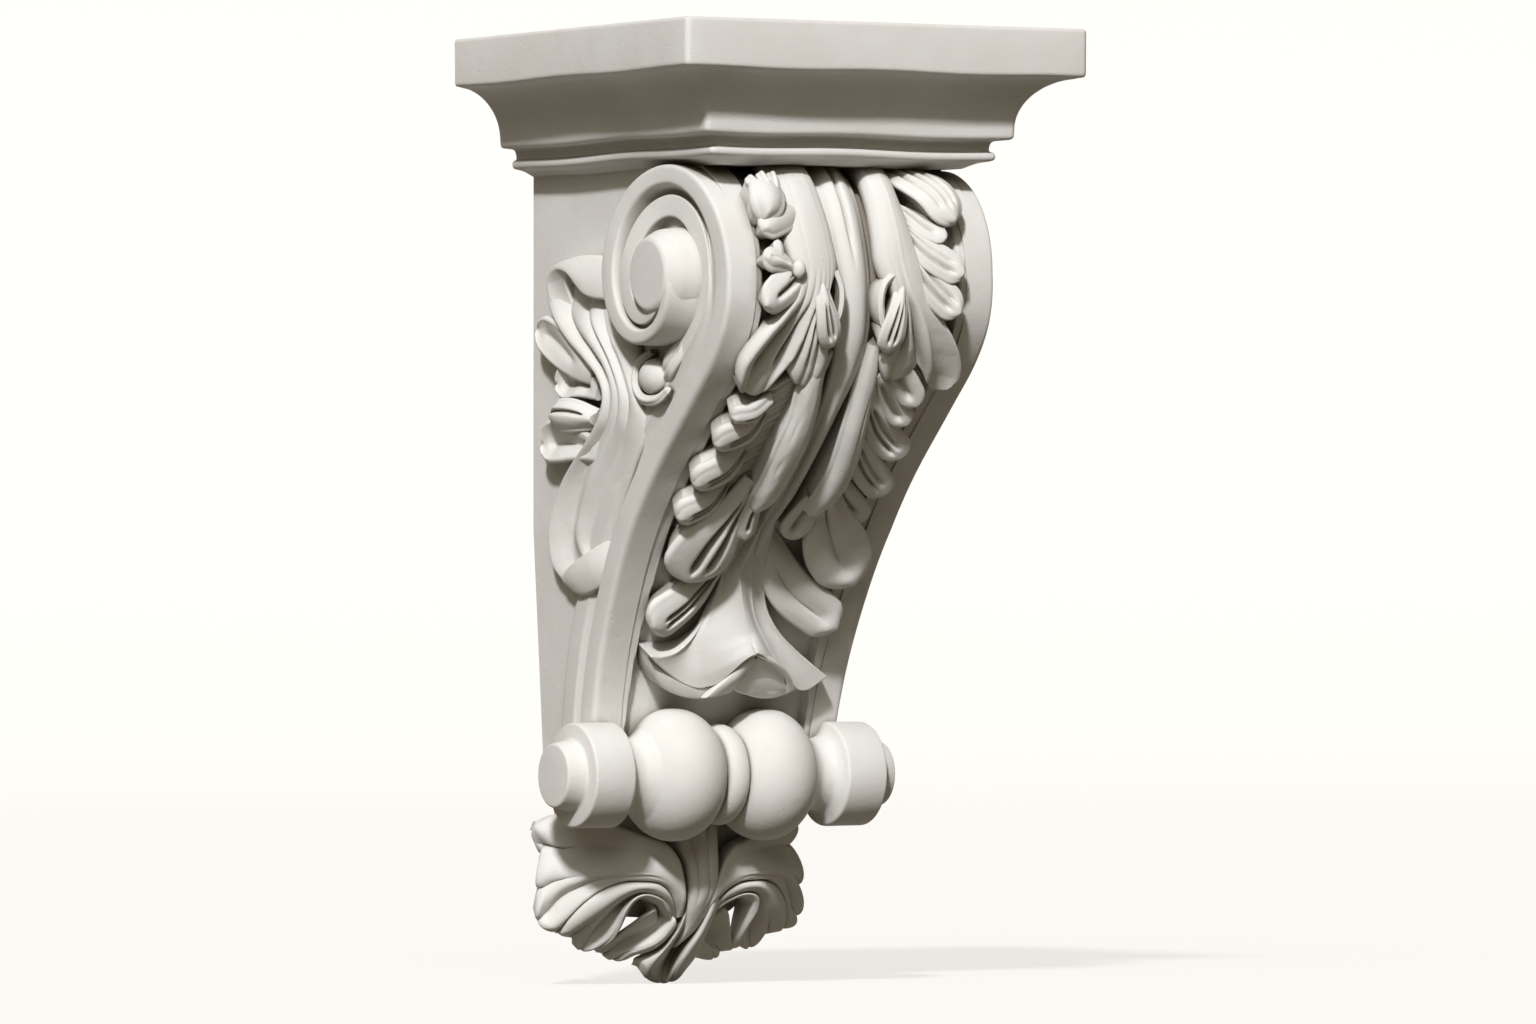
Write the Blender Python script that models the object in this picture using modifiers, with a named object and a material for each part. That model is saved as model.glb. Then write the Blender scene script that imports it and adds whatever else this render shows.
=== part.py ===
"""Acanthus scroll corbel, cast in plaster as one piece.

Frame: the wall is the plane Y = 0 and the corbel stands out of it towards -Y.
X runs along the wall with X = 0 on the centre line, and Z is up.
Design values are in millimetres, and every mesh is scaled to metres when it is made.

Four charts place the carving, each with two coordinates on a ground and a height above it:
  front chart  (x, s, h)  s is the length along the S shaped front, from the cap down
  side chart   (d, z, h)  d is the distance from the wall
  wall chart   (x, z, h)  h is the distance from the wall
  scroll path             a profile carried along the spiral and the S shaped edge
"""
from itertools import count

import bpy
import bmesh
import numpy as np

MM = 0.001
OBJECT_NAME = "corbel"
PLASTER_COLOUR = (0.80, 0.77, 0.72, 1.0)
PLASTER_ROUGHNESS = 0.85

PAST_WALL = 4.0

# Cap
CAP_TOP = 178.0
CAP_WIDTH = 171.0
CAP_DEPTH = 177.0
FASCIA_HEIGHT = 18.0
FASCIA_EDGE = 1.5
COVE_TOP_INSET = 1.5
COVE_FOOT_INSET = 19.3
COVE_FOOT = 137.0
COVE_STEPS = 6
FILLET_INSET = 27.5
FILLET_FOOT = 128.5

# Body
PANEL_HALF = 51.6
PANEL_HALF_LOW = 47.6
TAPER_TOP = -7.0
TAPER_FOOT = -88.0
BODY_TOP = 132.0
BODY_FOOT = -108.0
BODY_INSET = 0.6
S_PROFILE = [(124, 129), (139.5, 121), (151, 107), (157, 88), (155, 70), (145, 54), (127, 37),
             (100, 12), (80, -12), (66, -35), (55.5, -58), (49, -80), (46, -98)]

# Scroll, with its values at each quarter turn from the front, over the top, to the eye
FLANGE_HALF = 56.8
SCROLL_DEPTH = 113.0
SCROLL_HEIGHT = 88.0
EYE_DEPTH = 117.5
EYE_HEIGHT = 86.3
EYE_BASE_RADIUS = 16.0
EYE_FACE_RADIUS = 14.0
EYE_RISE = 11.9
BAND_OUTER = [44.0, 39.0, 37.5, 26.5, 18.0]
BAND_INNER = [34.0, 32.0, 27.0, 20.5, 16.0]
LIST_OUTER = [27.0, 28.0, 25.5, 18.6, 14.5]
LIST_INNER = [15.0, 20.0, 16.5, 14.0, 12.0]
BAND_RISE = [0.0, 3.5, 8.0, 10.0, 10.5]
LIST_RISE = [-2.5, 0.0, 6.5, 9.5, 10.5]
GROOVE_DROP = 2.2
FLOOR_LEVEL = -3.5
TAIL_BAND = 10.0
TAIL_COVE = 17.6
TAIL_LIST = 26.6
TAIL_END = 268.0
TAIL_STEPS = 13
TONGUE_TURN = 0.03
TONGUE_SHRINK = 0.04
SPIRAL_END = 0.97
SPIRAL_STEPS = 22
ROOT_LEVEL = -12.0
CORE_RADIUS = 6.0

# Bolster, as half its length and its radius, from the middle ring to the end button
BOLSTER_DEPTH = 50.0
BOLSTER_HEIGHT = -98.7
RING_HALF = 4.8
RING_RADIUS = 18.8
BULB_MIDDLE = 19.5
BULB_RADIUS = 25.0
NECK_AT = 40.0
NECK_RADIUS = 13.5
DRUM_START = 46.0
DRUM_END = 62.8
DRUM_RADIUS = 19.8
BUTTON_END = 70.8
BUTTON_RADIUS = 12.0
BOLSTER_SIDES = 16

# Lobes: rows of root, tip, width, number of flutes and height of root and tip above the ground
UPPER_LOBES = [
    ((27, 14), (42, 31), 17, 3, 4, 9),
    ((28, 34), (39, 43), 9, 1, 4, 8),
    ((26, 44), (40, 56), 10, 1, 5, 9),
    ((24, 54), (40, 69), 12, 2, 5, 9),
    ((22, 62), (40, 102), 19, 2, 4, 11),
    ((18, 64), (25, 102), 12, 1, 5, 11),
    ((15, 58), (12, 87), 10, 1, 4, 11),
]
LOWER_LOBES = [
    ((15, 100), (28, 112), 8, 1, 8, 13),
    ((16, 108), (32, 124), 11, 1, 9, 15),
    ((17, 122), (36, 142), 12, 2, 9, 15),
    ((17, 138), (38, 160), 13, 2, 9, 15),
    ((15, 154), (40, 198), 24, 3, 7, 15),
    ((10, 154), (9, 180), 9, 1, 7, 13),
    ((8, 182), (43, 222), 20, 3, 4, 12),
]
PENDANT_LOBES = [
    ((24, -113), (57, -121), 13, 1, 22, 12),
    ((22, -119), (57, -135), 17, 1, 24, 13),
    ((18, -124), (53, -157), 22, 2, 26, 15),
    ((15, -130), (35, -165), 13, 1, 27, 17),
    ((10, -136), (19, -169), 12, 1, 27, 17),
]
PENDANT_BOW = 0.1
PENDANT_UNDERCUT = 0.4
LOBE_SINK = -3.0
SINK_STEP = 0.037
SKIRT_TOP = 172.0
SKIRT_STEM = 6.5
SKIRT_HALF = 38.0
SKIRT_HEM = 249.0
SKIRT_TIP_RISE = 16.0
CURVE_SAMPLES = 101
ROUND_TIP_END = 0.985
ROUNDING_FROM = 0.62
TIP_FALL = 2.5
WELD = 0.000005
FLAT_ANGLE = 0.03
SHARP_ANGLE = np.radians(32)


def clear_scene():
    for item in list(bpy.data.objects):
        bpy.data.objects.remove(item, do_unlink=True)


def plaster():
    material = bpy.data.materials.new("plaster")
    material.use_nodes = True
    shader = material.node_tree.nodes["Principled BSDF"]
    shader.inputs["Base Color"].default_value = PLASTER_COLOUR
    shader.inputs["Roughness"].default_value = PLASTER_ROUGHNESS
    shader.inputs["Metallic"].default_value = 0.0
    return material


def smooth_curve(points, samples):
    """Points evenly spread in parameter on a Catmull-Rom curve through the given points."""
    points = np.asarray(points, float)
    padded = np.vstack([2 * points[0] - points[1], points, 2 * points[-1] - points[-2]])
    place = np.linspace(0, len(points) - 1, samples)
    index = np.minimum(place.astype(int), len(points) - 2)
    t = (place - index)[:, None]
    a, b, c, d = padded[index], padded[index + 1], padded[index + 2], padded[index + 3]
    return 0.5 * (2 * b + (c - a) * t + (2 * a - 5 * b + 4 * c - d) * t ** 2
                  + (3 * b - a - 3 * c + d) * t ** 3)


def mesh_object(name, vertices, faces):
    mesh = bpy.data.meshes.new(name)
    mesh.from_pydata((np.asarray(vertices) * MM).tolist(), [], faces)
    work = bmesh.new()
    work.from_mesh(mesh)
    bmesh.ops.recalc_face_normals(work, faces=work.faces)
    bmesh.ops.triangulate(work, faces=work.faces)
    work.to_mesh(mesh)
    work.free()
    item = bpy.data.objects.new(name, mesh)
    bpy.context.scene.collection.objects.link(item)
    return item


def loft(name, rings):
    """A closed solid through rings of equal point count, with a flat face on each end."""
    rings = np.asarray(rings, float)
    rows, sides = rings.shape[:2]
    faces = [list(range(sides)), [(rows - 1) * sides + i for i in range(sides)]]
    for row in range(rows - 1):
        for i in range(sides):
            j = (i + 1) % sides
            a, b = row * sides, (row + 1) * sides
            faces.append([a + i, a + j, b + j, b + i])
    return mesh_object(name, rings.reshape(-1, 3), faces)


# Charts

S_CURVE = smooth_curve(S_PROFILE, 600)
S_LENGTH = np.concatenate([[0], np.cumsum(np.hypot(*np.diff(S_CURVE, axis=0).T))])
S_TANGENT = np.gradient(S_CURVE, S_LENGTH, axis=0)


def s_point(s):
    """Point and outward direction of the S curve at length s, in distance from wall and height."""
    point = np.stack([np.interp(s, S_LENGTH, S_CURVE[:, k]) for k in (0, 1)], -1)
    along = np.stack([np.interp(s, S_LENGTH, S_TANGENT[:, k]) for k in (0, 1)], -1)
    outward = np.stack([-along[..., 1], along[..., 0]], -1)
    return point, outward / np.linalg.norm(outward, axis=-1, keepdims=True)


def front_place(x, s, h):
    point, outward = s_point(s)
    return np.stack([x, -(point[..., 0] + h * outward[..., 0]), point[..., 1] + h * outward[..., 1]], -1)


def panel_half(z):
    return np.interp(z, [TAPER_FOOT, TAPER_TOP], [PANEL_HALF_LOW, PANEL_HALF])


def side_place(d, z, h):
    return np.stack([panel_half(z) + h, -d, z], -1)


def wall_place(x, z, h):
    return np.stack([x, -h, z], -1)


# Lobes

lobe_number = count()


def lobe_columns(flutes):
    """Places across a lobe: both foot edges, both rims, and each flute's valley and ridge."""
    inner = np.linspace(-0.86, 0.86, 2 * flutes + 1)
    return np.concatenate([[-1.0], inner, [1.0]])


def petal(name, place, path, widths, flutes=1, depth=2.0, crown=1.0, foot=None, tip=True, rows=6,
          undercut=0.0):
    """A fluted lobe along a path of (a, b, height), as wide as widths say, round at its tip.

    Across it, the height falls by depth in each flute's valley and rises by crown in the middle.
    Its foot is sunk in the ground, each lobe's by a little more than the last, so none share a plane.
    undercut is the share by which the foot is narrower than the lobe, and a third of it is taken
    off the foot's length.
    """
    if foot is None:
        foot = LOBE_SINK - SINK_STEP * next(lobe_number)
    v = np.linspace(0, 1, rows)
    if tip:
        v = np.sin(v * np.pi / 2) * ROUND_TIP_END
    curve = smooth_curve(path, CURVE_SAMPLES)
    width_curve = smooth_curve(np.asarray(widths, float)[:, None], CURVE_SAMPLES)
    share = np.linspace(0, 1, CURVE_SAMPLES)
    line = np.stack([np.interp(v, share, curve[:, k]) for k in range(3)], -1)
    foot_share = v * (1 - undercut / 3)
    foot_line = np.stack([np.interp(foot_share, share, curve[:, k]) for k in range(2)], -1)
    breadth = np.interp(v, share, width_curve[:, 0]) / 2
    if tip:
        breadth = breadth * np.sqrt(1 - np.clip((v - ROUNDING_FROM) / (1 - ROUNDING_FROM), 0, 1) ** 2)
    along = np.gradient(line[:, :2], axis=0)
    along /= np.linalg.norm(along, axis=1, keepdims=True)
    across = np.stack([-along[:, 1], along[:, 0]], -1)
    u = lobe_columns(flutes)
    flat = line[:, None, :2] + across[:, None, :] * (breadth[:, None] * u)[..., None]
    edge = (1 - undercut) * breadth[:, None] * u[[0, -1]]
    flat[:, [0, -1]] = foot_line[:, None, :] + across[:, None, :] * edge[..., None]
    valley = np.abs(np.sin(np.pi * flutes * (u / 0.86 + 1) / 2)) * (np.abs(u) < 0.9)
    fade = np.interp(v, [0, 0.15, 0.8, 1], [0.4, 1, 1, 0.2]) if tip else np.ones(rows)
    fall = np.interp(v, [0, 0.85, 1], [0, 0, TIP_FALL]) if tip else np.zeros(rows)
    h = line[:, 2, None] + crown * (1 - u ** 2) - depth * fade[:, None] * valley - fall[:, None]
    h[:, [0, -1]] = foot
    return loft(name, place(flat[..., 0], flat[..., 1], h))


def straight_lobe(name, place, row, bow=0.14, rows=6):
    """A lobe from a table row, whose path bows sideways by a share of its length."""
    root, tip, width, flutes, root_height, tip_height = row
    root, tip = np.array(root, float), np.array(tip, float)
    run = tip - root
    middle = root + 0.5 * run + bow * np.array([run[1], -run[0]])
    middle_height = root_height * 0.4 + tip_height * 0.6 + 1.0
    path = [(*root, root_height), (*middle, middle_height), (*tip, tip_height)]
    return petal(name, place, path, [width * 0.55, width, width * 0.95], flutes=flutes, rows=rows)


# Cap, body and scroll

def box_ring(width, depth, z):
    half = width / 2
    return [(-half, PAST_WALL, z), (half, PAST_WALL, z), (half, -depth, z), (-half, -depth, z)]


def make_cap():
    """The moulding of the cap, as rectangles that shrink down the cove and step in to the fillet."""
    fascia_foot = CAP_TOP - FASCIA_HEIGHT
    rings = [box_ring(CAP_WIDTH - 2 * FASCIA_EDGE, CAP_DEPTH - FASCIA_EDGE, CAP_TOP)]
    rings.append(box_ring(CAP_WIDTH, CAP_DEPTH, CAP_TOP - FASCIA_EDGE))
    rings.append(box_ring(CAP_WIDTH, CAP_DEPTH, fascia_foot + FASCIA_EDGE))
    rings.append(box_ring(CAP_WIDTH - 2 * FASCIA_EDGE, CAP_DEPTH - FASCIA_EDGE, fascia_foot))
    for angle in np.linspace(0, np.pi / 2, COVE_STEPS + 1)[1:]:
        inset = COVE_TOP_INSET + (COVE_FOOT_INSET - COVE_TOP_INSET) * np.sin(angle)
        z = COVE_FOOT + 4.5 + (fascia_foot - COVE_FOOT - 4.5) * np.cos(angle)
        rings.append(box_ring(CAP_WIDTH - 2 * inset, CAP_DEPTH - inset, z))
    rings.append(box_ring(CAP_WIDTH - 2 * COVE_FOOT_INSET, CAP_DEPTH - COVE_FOOT_INSET, COVE_FOOT))
    rings.append(box_ring(CAP_WIDTH - 2 * FILLET_INSET, CAP_DEPTH - FILLET_INSET, COVE_FOOT - 0.2))
    rings.append(box_ring(CAP_WIDTH - 2 * FILLET_INSET, CAP_DEPTH - FILLET_INSET, FILLET_FOOT + 1))
    rings.append(box_ring(CAP_WIDTH - 2 * FILLET_INSET - 4, CAP_DEPTH - FILLET_INSET - 2, FILLET_FOOT))
    return loft("cap", rings)


def make_body():
    """The block between the flanges: cross sections from the foot to the cap, flat at the wall."""
    levels = np.linspace(BODY_FOOT, BODY_TOP, 25)
    order = np.argsort(S_CURVE[:, 1])
    front = np.interp(levels, S_CURVE[order, 1], S_CURVE[order, 0]) - BODY_INSET
    rings = []
    for z, depth in zip(levels, front):
        rings.append(box_ring(2 * panel_half(z), depth, z))
    return loft("body", rings)


def quarter_value(values, turn):
    """Value at a place in turns, on a smooth curve through values given at each quarter turn."""
    dense = smooth_curve(np.asarray(values, float)[:, None], 401)[:, 0]
    return float(np.interp(turn, np.linspace(0, 1, 401), dense))


def scroll_solid(name, sections):
    """A loft through profiles given as (rise beyond the flange, distance from wall, height)."""
    rings = np.array(sections, float)
    return loft(name, np.stack([rings[..., 0], -rings[..., 1], rings[..., 2]], -1))


def spiral_section(turn):
    """Band, groove and list on the ray from the scroll's centre at a place in turns."""
    centre = np.array([SCROLL_DEPTH, SCROLL_HEIGHT])
    radial = np.array([np.cos(2 * np.pi * turn), np.sin(2 * np.pi * turn)])
    band_out, band_in, list_out, list_in, band, lister = [
        quarter_value(values, turn) for values in
        (BAND_OUTER, BAND_INNER, LIST_OUTER, LIST_INNER, BAND_RISE, LIST_RISE)]
    groove = min(band, lister) - GROOVE_DROP * np.sin(np.pi * turn)
    steps = [(band_out, ROOT_LEVEL), (band_out, band), (band_in, band), (list_out + 0.8, groove),
             (list_out, lister), (list_in, lister), (list_in - 1, FLOOR_LEVEL),
             (CORE_RADIUS, FLOOR_LEVEL), (CORE_RADIUS, ROOT_LEVEL)]
    return [(FLANGE_HALF + rise, *(centre + radial * radius)) for radius, rise in steps]


def make_spiral():
    """The profile carried once round the eye."""
    return scroll_solid("spiral", [spiral_section(t) for t in np.linspace(SPIRAL_END, 0, SPIRAL_STEPS)])


def make_tail():
    """The same profile carried from the front of the spiral down the S curve to the bolster."""
    tongue = np.array(spiral_section(TONGUE_TURN))
    sections = [tongue + TONGUE_SHRINK * (tongue.mean(axis=0) - tongue)]
    start = np.interp(SCROLL_HEIGHT, S_CURVE[::-1, 1], S_LENGTH[::-1])
    for s in np.linspace(start + 2, TAIL_END, TAIL_STEPS):
        point, outward = s_point(s)
        face = FLANGE_HALF - PANEL_HALF + panel_half(point[1])
        steps = [(0, ROOT_LEVEL), (0, 0), (TAIL_BAND, 0), (TAIL_COVE - 0.8, LIST_RISE[0]),
                 (TAIL_COVE, LIST_RISE[0]), (TAIL_LIST, LIST_RISE[0]), (TAIL_LIST + 1, FLOOR_LEVEL),
                 (TAIL_LIST + 2, FLOOR_LEVEL), (TAIL_LIST + 2, ROOT_LEVEL)]
        sections.append([(face + rise, *(point - outward * inset)) for inset, rise in steps])
    return scroll_solid("tail", sections)


def make_eye():
    rings = []
    for radius, rise in ((EYE_BASE_RADIUS, -12), (EYE_BASE_RADIUS - 0.3, FLOOR_LEVEL),
                         (EYE_FACE_RADIUS + 0.8, EYE_RISE - 1.2), (EYE_FACE_RADIUS - 1, EYE_RISE)):
        angles = np.linspace(0, 2 * np.pi, 20, endpoint=False)
        d = EYE_DEPTH + radius * np.cos(angles)
        z = EYE_HEIGHT + radius * np.sin(angles)
        rings.append(np.stack([np.full(20, FLANGE_HALF + rise), -d, z], -1))
    return loft("eye", rings)


def bolster_profile():
    """Half the bolster's outline from the middle outwards, as distance along it and radius."""
    outline = [(0, RING_RADIUS + 0.4), (RING_HALF - 0.8, RING_RADIUS - 0.2), (RING_HALF, RING_RADIUS - 2)]
    for angle in np.radians([150, 122, 95, 70, 47, 27]):
        outline.append((BULB_MIDDLE + 16.5 * np.cos(angle), 8 + (BULB_RADIUS - 8) * np.sin(angle)))
    outline += [(NECK_AT, NECK_RADIUS), (DRUM_START - 1, DRUM_RADIUS - 3)]
    outline += [(DRUM_START + 1, DRUM_RADIUS), (DRUM_END - 2, DRUM_RADIUS), (DRUM_END, DRUM_RADIUS - 2.5)]
    outline += [(DRUM_END + 0.3, BUTTON_RADIUS + 1.5), (BUTTON_END - 1, BUTTON_RADIUS)]
    outline += [(BUTTON_END, BUTTON_RADIUS - 1.5)]
    return outline


def make_bolster():
    """A turned piece across the front: its profile screwed round the X axis."""
    half = bolster_profile()
    outline = [(-x, r) for x, r in reversed(half)] + half[1:]
    outline = [(outline[0][0], 0.0)] + outline + [(outline[-1][0], 0.0)]
    mesh = bpy.data.meshes.new("bolster")
    points = [(x * MM, 0.0, r * MM) for x, r in outline]
    mesh.from_pydata(points, [(i, i + 1) for i in range(len(points) - 1)], [])
    item = bpy.data.objects.new("bolster", mesh)
    bpy.context.scene.collection.objects.link(item)
    item.location = (0, -BOLSTER_DEPTH * MM, BOLSTER_HEIGHT * MM)
    screw = item.modifiers.new("turn", "SCREW")
    screw.axis = "X"
    screw.steps = BOLSTER_SIDES
    screw.render_steps = BOLSTER_SIDES
    screw.use_merge_vertices = True
    screw.merge_threshold = 0.00001
    return baked(item)


def baked(item):
    """The same object with its modifiers and its place worked into a plain triangle mesh."""
    graph = bpy.context.evaluated_depsgraph_get()
    mesh = bpy.data.meshes.new_from_object(item.evaluated_get(graph))
    mesh.transform(item.matrix_world)
    name = item.name
    bpy.data.objects.remove(item, do_unlink=True)
    work = bmesh.new()
    work.from_mesh(mesh)
    bmesh.ops.remove_doubles(work, verts=work.verts, dist=0.000001)
    bmesh.ops.recalc_face_normals(work, faces=work.faces)
    bmesh.ops.triangulate(work, faces=work.faces)
    work.to_mesh(mesh)
    work.free()
    solid = bpy.data.objects.new(name, mesh)
    bpy.context.scene.collection.objects.link(solid)
    return solid


# Carving

def make_front_leaf_half():
    """Right half of the leaf on the front: ribs, two blades and their lobes."""
    pieces = [
        petal("upper_blade", front_place, [(21, 2, 7), (20, 30, 7), (18, 55, 6), (17, 78, 5)],
              [24, 22, 18, 12], flutes=1, depth=-0.5, crown=2.5, tip=False),
        petal("lower_blade", front_place, [(15, 84, 3), (17, 105, 9), (17, 135, 12), (14, 160, 9), (11, 176, 5)],
              [14, 22, 24, 18, 8], flutes=2, depth=0.6, crown=2.5, tip=False, rows=7),
    ]
    for number, row in enumerate(UPPER_LOBES):
        pieces.append(straight_lobe(f"upper_lobe_{number}", front_place, row))
    for number, row in enumerate(LOWER_LOBES):
        pieces.append(straight_lobe(f"lower_lobe_{number}", front_place, row))
    return pieces


def make_ribs():
    """Four ridges that run down the middle of the leaf and draw together at its stem."""
    pieces = []
    for number, share in enumerate((-1.0, -0.36, 0.36, 1.0)):
        path = [(share * 11.5, 1, 6.5), (share * 9.5, 35, 6), (share * 7.5, 70, 4), (share * 7, 100, 9),
                (share * 6.5, 130, 14), (share * 5.5, 152, 11), (share * 4.5, 178, 6), (share * 4, 200, 8)]
        pieces.append(petal(f"rib_{number}", front_place, path, [8, 7, 6, 5.5, 5.5, 5, 4.5, 4.5],
                            flutes=1, depth=-1.6, crown=0.5, tip=False, rows=12))
    return pieces


def make_tulip():
    """The flared end of the stem: a skirt that widens to two side tips and a folded hem."""
    u = np.array([-1.0, -0.93, -0.6, -0.3, 0.0, 0.3, 0.6, 0.93, 1.0])
    hem = SKIRT_HEM - SKIRT_TIP_RISE * np.abs(u) ** 2.5 + 1.5 * np.cos(2 * np.pi * u)
    rings = []
    for v in np.linspace(0, 1, 7):
        half = SKIRT_STEM + (SKIRT_HALF - SKIRT_STEM) * v ** 2.2
        h = 5 + 5 * v + (3 + 5 * v) * (1 - u ** 2) + 2.5 * v ** 2 * np.cos(4 * np.pi * u)
        h[[0, -1]] = LOBE_SINK
        rings.append(front_place(half * u, SKIRT_TOP + (hem - SKIRT_TOP) * v, h))
    skirt = loft("skirt", rings)
    fold = petal("fold", front_place, [(3, 228, 16), (1, 238, 19), (0, 250, 17)], [3, 20, 36],
                 flutes=1, depth=-1.5, crown=1, tip=False, rows=5)
    return [skirt, fold]


def make_side_leaf():
    """Leaf on the right cheek, between the wall edge and the scroll."""
    pieces = [
        petal("side_ribbon_top", side_place, [(78, 86, 4), (60, 90, 6), (42, 90, 7), (27, 87, 6)],
              [15, 16, 16, 10], flutes=1, depth=1.0, tip=False),
        petal("side_stem_back", side_place, [(25, 90, 5), (29, 78, 6), (36, 66, 6), (47, 55, 6), (55, 43, 6),
              (55, 31, 6), (46, 22, 6), (36, 12, 6), (27, 0, 6), (24, -10, 6), (28, -20, 5), (36, -25, 4)],
              [9, 11, 11, 11, 12, 12, 12, 12, 11, 10, 9, 7], flutes=1, depth=2.0, tip=False, rows=16),
        petal("side_stem_mid", side_place, [(62, 70, 4), (63, 58, 6), (66, 45, 7), (65, 33, 6), (58, 22, 5), (50, 10, 5),
              (44, -3, 3)], [6, 9, 11, 11, 10, 8, 5], flutes=1, depth=1.5, tip=False, rows=9),
        petal("side_stem_front", side_place, [(72, 76, 4), (73, 60, 5), (77, 46, 6), (77, 34, 5), (68, 20, 4)],
              [7, 10, 11, 10, 6], flutes=1, depth=1.2, tip=False, rows=7),
    ]
    table = [
        ((38, 58), (8, 68), 17, 1, 4, 7),
        ((48, 44), (23, 48), 14, 1, 4, 7),
        ((48, 34), (26, 33), 11, 2, 4, 9),
        ((48, 24), (13, 24), 15, 1, 4, 7),
        ((84, 38), (109, 56), 19, 1, 3, 7),
        ((58, 18), (62, 5), 8, 1, 4, 5),
        ((30, -22), (46, -20), 10, 1, 4, 6),
    ]
    for number, row in enumerate(table):
        pieces.append(straight_lobe(f"side_lobe_{number}", side_place, row, bow=0.05))
    return pieces


def make_pendant_half():
    """Right half of the palmette under the bolster, flat against the wall and undercut."""
    pieces = []
    for number, row in enumerate(PENDANT_LOBES):
        root, tip, width, flutes, root_height, tip_height = row
        run = np.subtract(tip, root)
        middle = np.add(root, 0.5 * run) + PENDANT_BOW * np.array([-run[1], run[0]])
        path = [(*root, root_height), (*middle, (root_height + tip_height) / 2 + 5), (*tip, tip_height)]
        pieces.append(petal(f"pendant_lobe_{number}", wall_place, path, [width * 0.6, width, width * 0.9],
                            flutes=flutes, depth=2.5, foot=-PAST_WALL + 0.5 + 0.2 * number,
                            undercut=PENDANT_UNDERCUT))
    return pieces


def make_pendant_middle():
    tongue = petal("pendant_tongue", wall_place, [(0, -104, 34), (0, -125, 34), (0, -150, 24), (0, -179.83, 10)],
                   [26, 24, 22, 20], flutes=2, depth=3.0, foot=-PAST_WALL + 2.5, rows=8)
    back = petal("pendant_back", wall_place, [(0, -96, 20), (0, -120, 16), (0, -150, 10), (0, -168, 6)],
                 [80, 90, 72, 32], flutes=1, depth=0, crown=6, foot=-PAST_WALL + 2.0, rows=6)
    return [tongue, back]


# Joining

def mirrored(item, name):
    copy = bpy.data.objects.new(name, item.data.copy())
    bpy.context.scene.collection.objects.link(copy)
    work = bmesh.new()
    work.from_mesh(copy.data)
    for vertex in work.verts:
        vertex.co.x = -vertex.co.x
    bmesh.ops.reverse_faces(work, faces=work.faces)
    work.to_mesh(copy.data)
    work.free()
    return copy


def combine(target, other, operation):
    """Boolean of two closed solids. EXACT leaves open edges where many lobes cross, so MANIFOLD."""
    boolean = target.modifiers.new("combine", "BOOLEAN")
    boolean.operation = operation
    boolean.solver = "MANIFOLD"
    boolean.object = other
    graph = bpy.context.evaluated_depsgraph_get()
    mesh = bpy.data.meshes.new_from_object(target.evaluated_get(graph))
    target.modifiers.clear()
    target.data = mesh
    bpy.data.objects.remove(other, do_unlink=True)


def union(target, pieces):
    for piece in pieces:
        combine(target, piece, "UNION")
    return target


def cut_flat_at_wall(item):
    """One box cuts everything behind the wall plane away."""
    bpy.ops.mesh.primitive_cube_add(size=1.0, location=(0, 0.05, 0))
    cutter = bpy.context.object
    cutter.name = "wall_cutter"
    cutter.scale = (0.5, 0.1, 0.5)
    cutter.hide_render = True
    cutter.display_type = "WIRE"
    combine(item, cutter, "DIFFERENCE")


def tidy(mesh):
    """Merge the flat faces that the unions have cut up, and leave triangles."""
    work = bmesh.new()
    work.from_mesh(mesh)
    bmesh.ops.remove_doubles(work, verts=work.verts, dist=WELD)
    bmesh.ops.dissolve_limit(work, angle_limit=FLAT_ANGLE, verts=work.verts, edges=work.edges)
    bmesh.ops.triangulate(work, faces=work.faces)
    work.to_mesh(mesh)
    work.free()


def main():
    clear_scene()
    halves = [make_spiral(), make_tail(), make_eye()] + make_front_leaf_half() + make_side_leaf() + make_pendant_half()
    left = [mirrored(item, item.name + "_left") for item in halves]
    middle = [make_body(), make_bolster()] + make_ribs() + make_tulip() + make_pendant_middle()
    corbel = union(make_cap(), middle + halves + left)
    cut_flat_at_wall(corbel)
    tidy(corbel.data)
    corbel.name = OBJECT_NAME
    corbel.data.name = OBJECT_NAME
    corbel.data.shade_smooth()
    corbel.data.set_sharp_from_angle(angle=SHARP_ANGLE)
    corbel.data.materials.clear()
    corbel.data.materials.append(plaster())
    holder = bpy.data.collections.new("acanthus_scroll_corbel")
    bpy.context.scene.collection.children.link(holder)
    bpy.context.scene.collection.objects.unlink(corbel)
    holder.objects.link(corbel)


main()
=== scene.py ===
# %% [markdown]
# # A plaster scroll corbel
# A corbel is a bracket that seems to carry a shelf or a beam. This one is cast in gypsum plaster from
# a carved model: a moulded cap, an S shaped body with a scroll on each cheek, acanthus leaves down the
# front, a turned bolster across the foot and a hanging leaf under it.
# It could be sculpted with brushes. Here each form is a numpy surface, a function of two parameters on
# a grid, because then each size has a name and can be changed.

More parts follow.
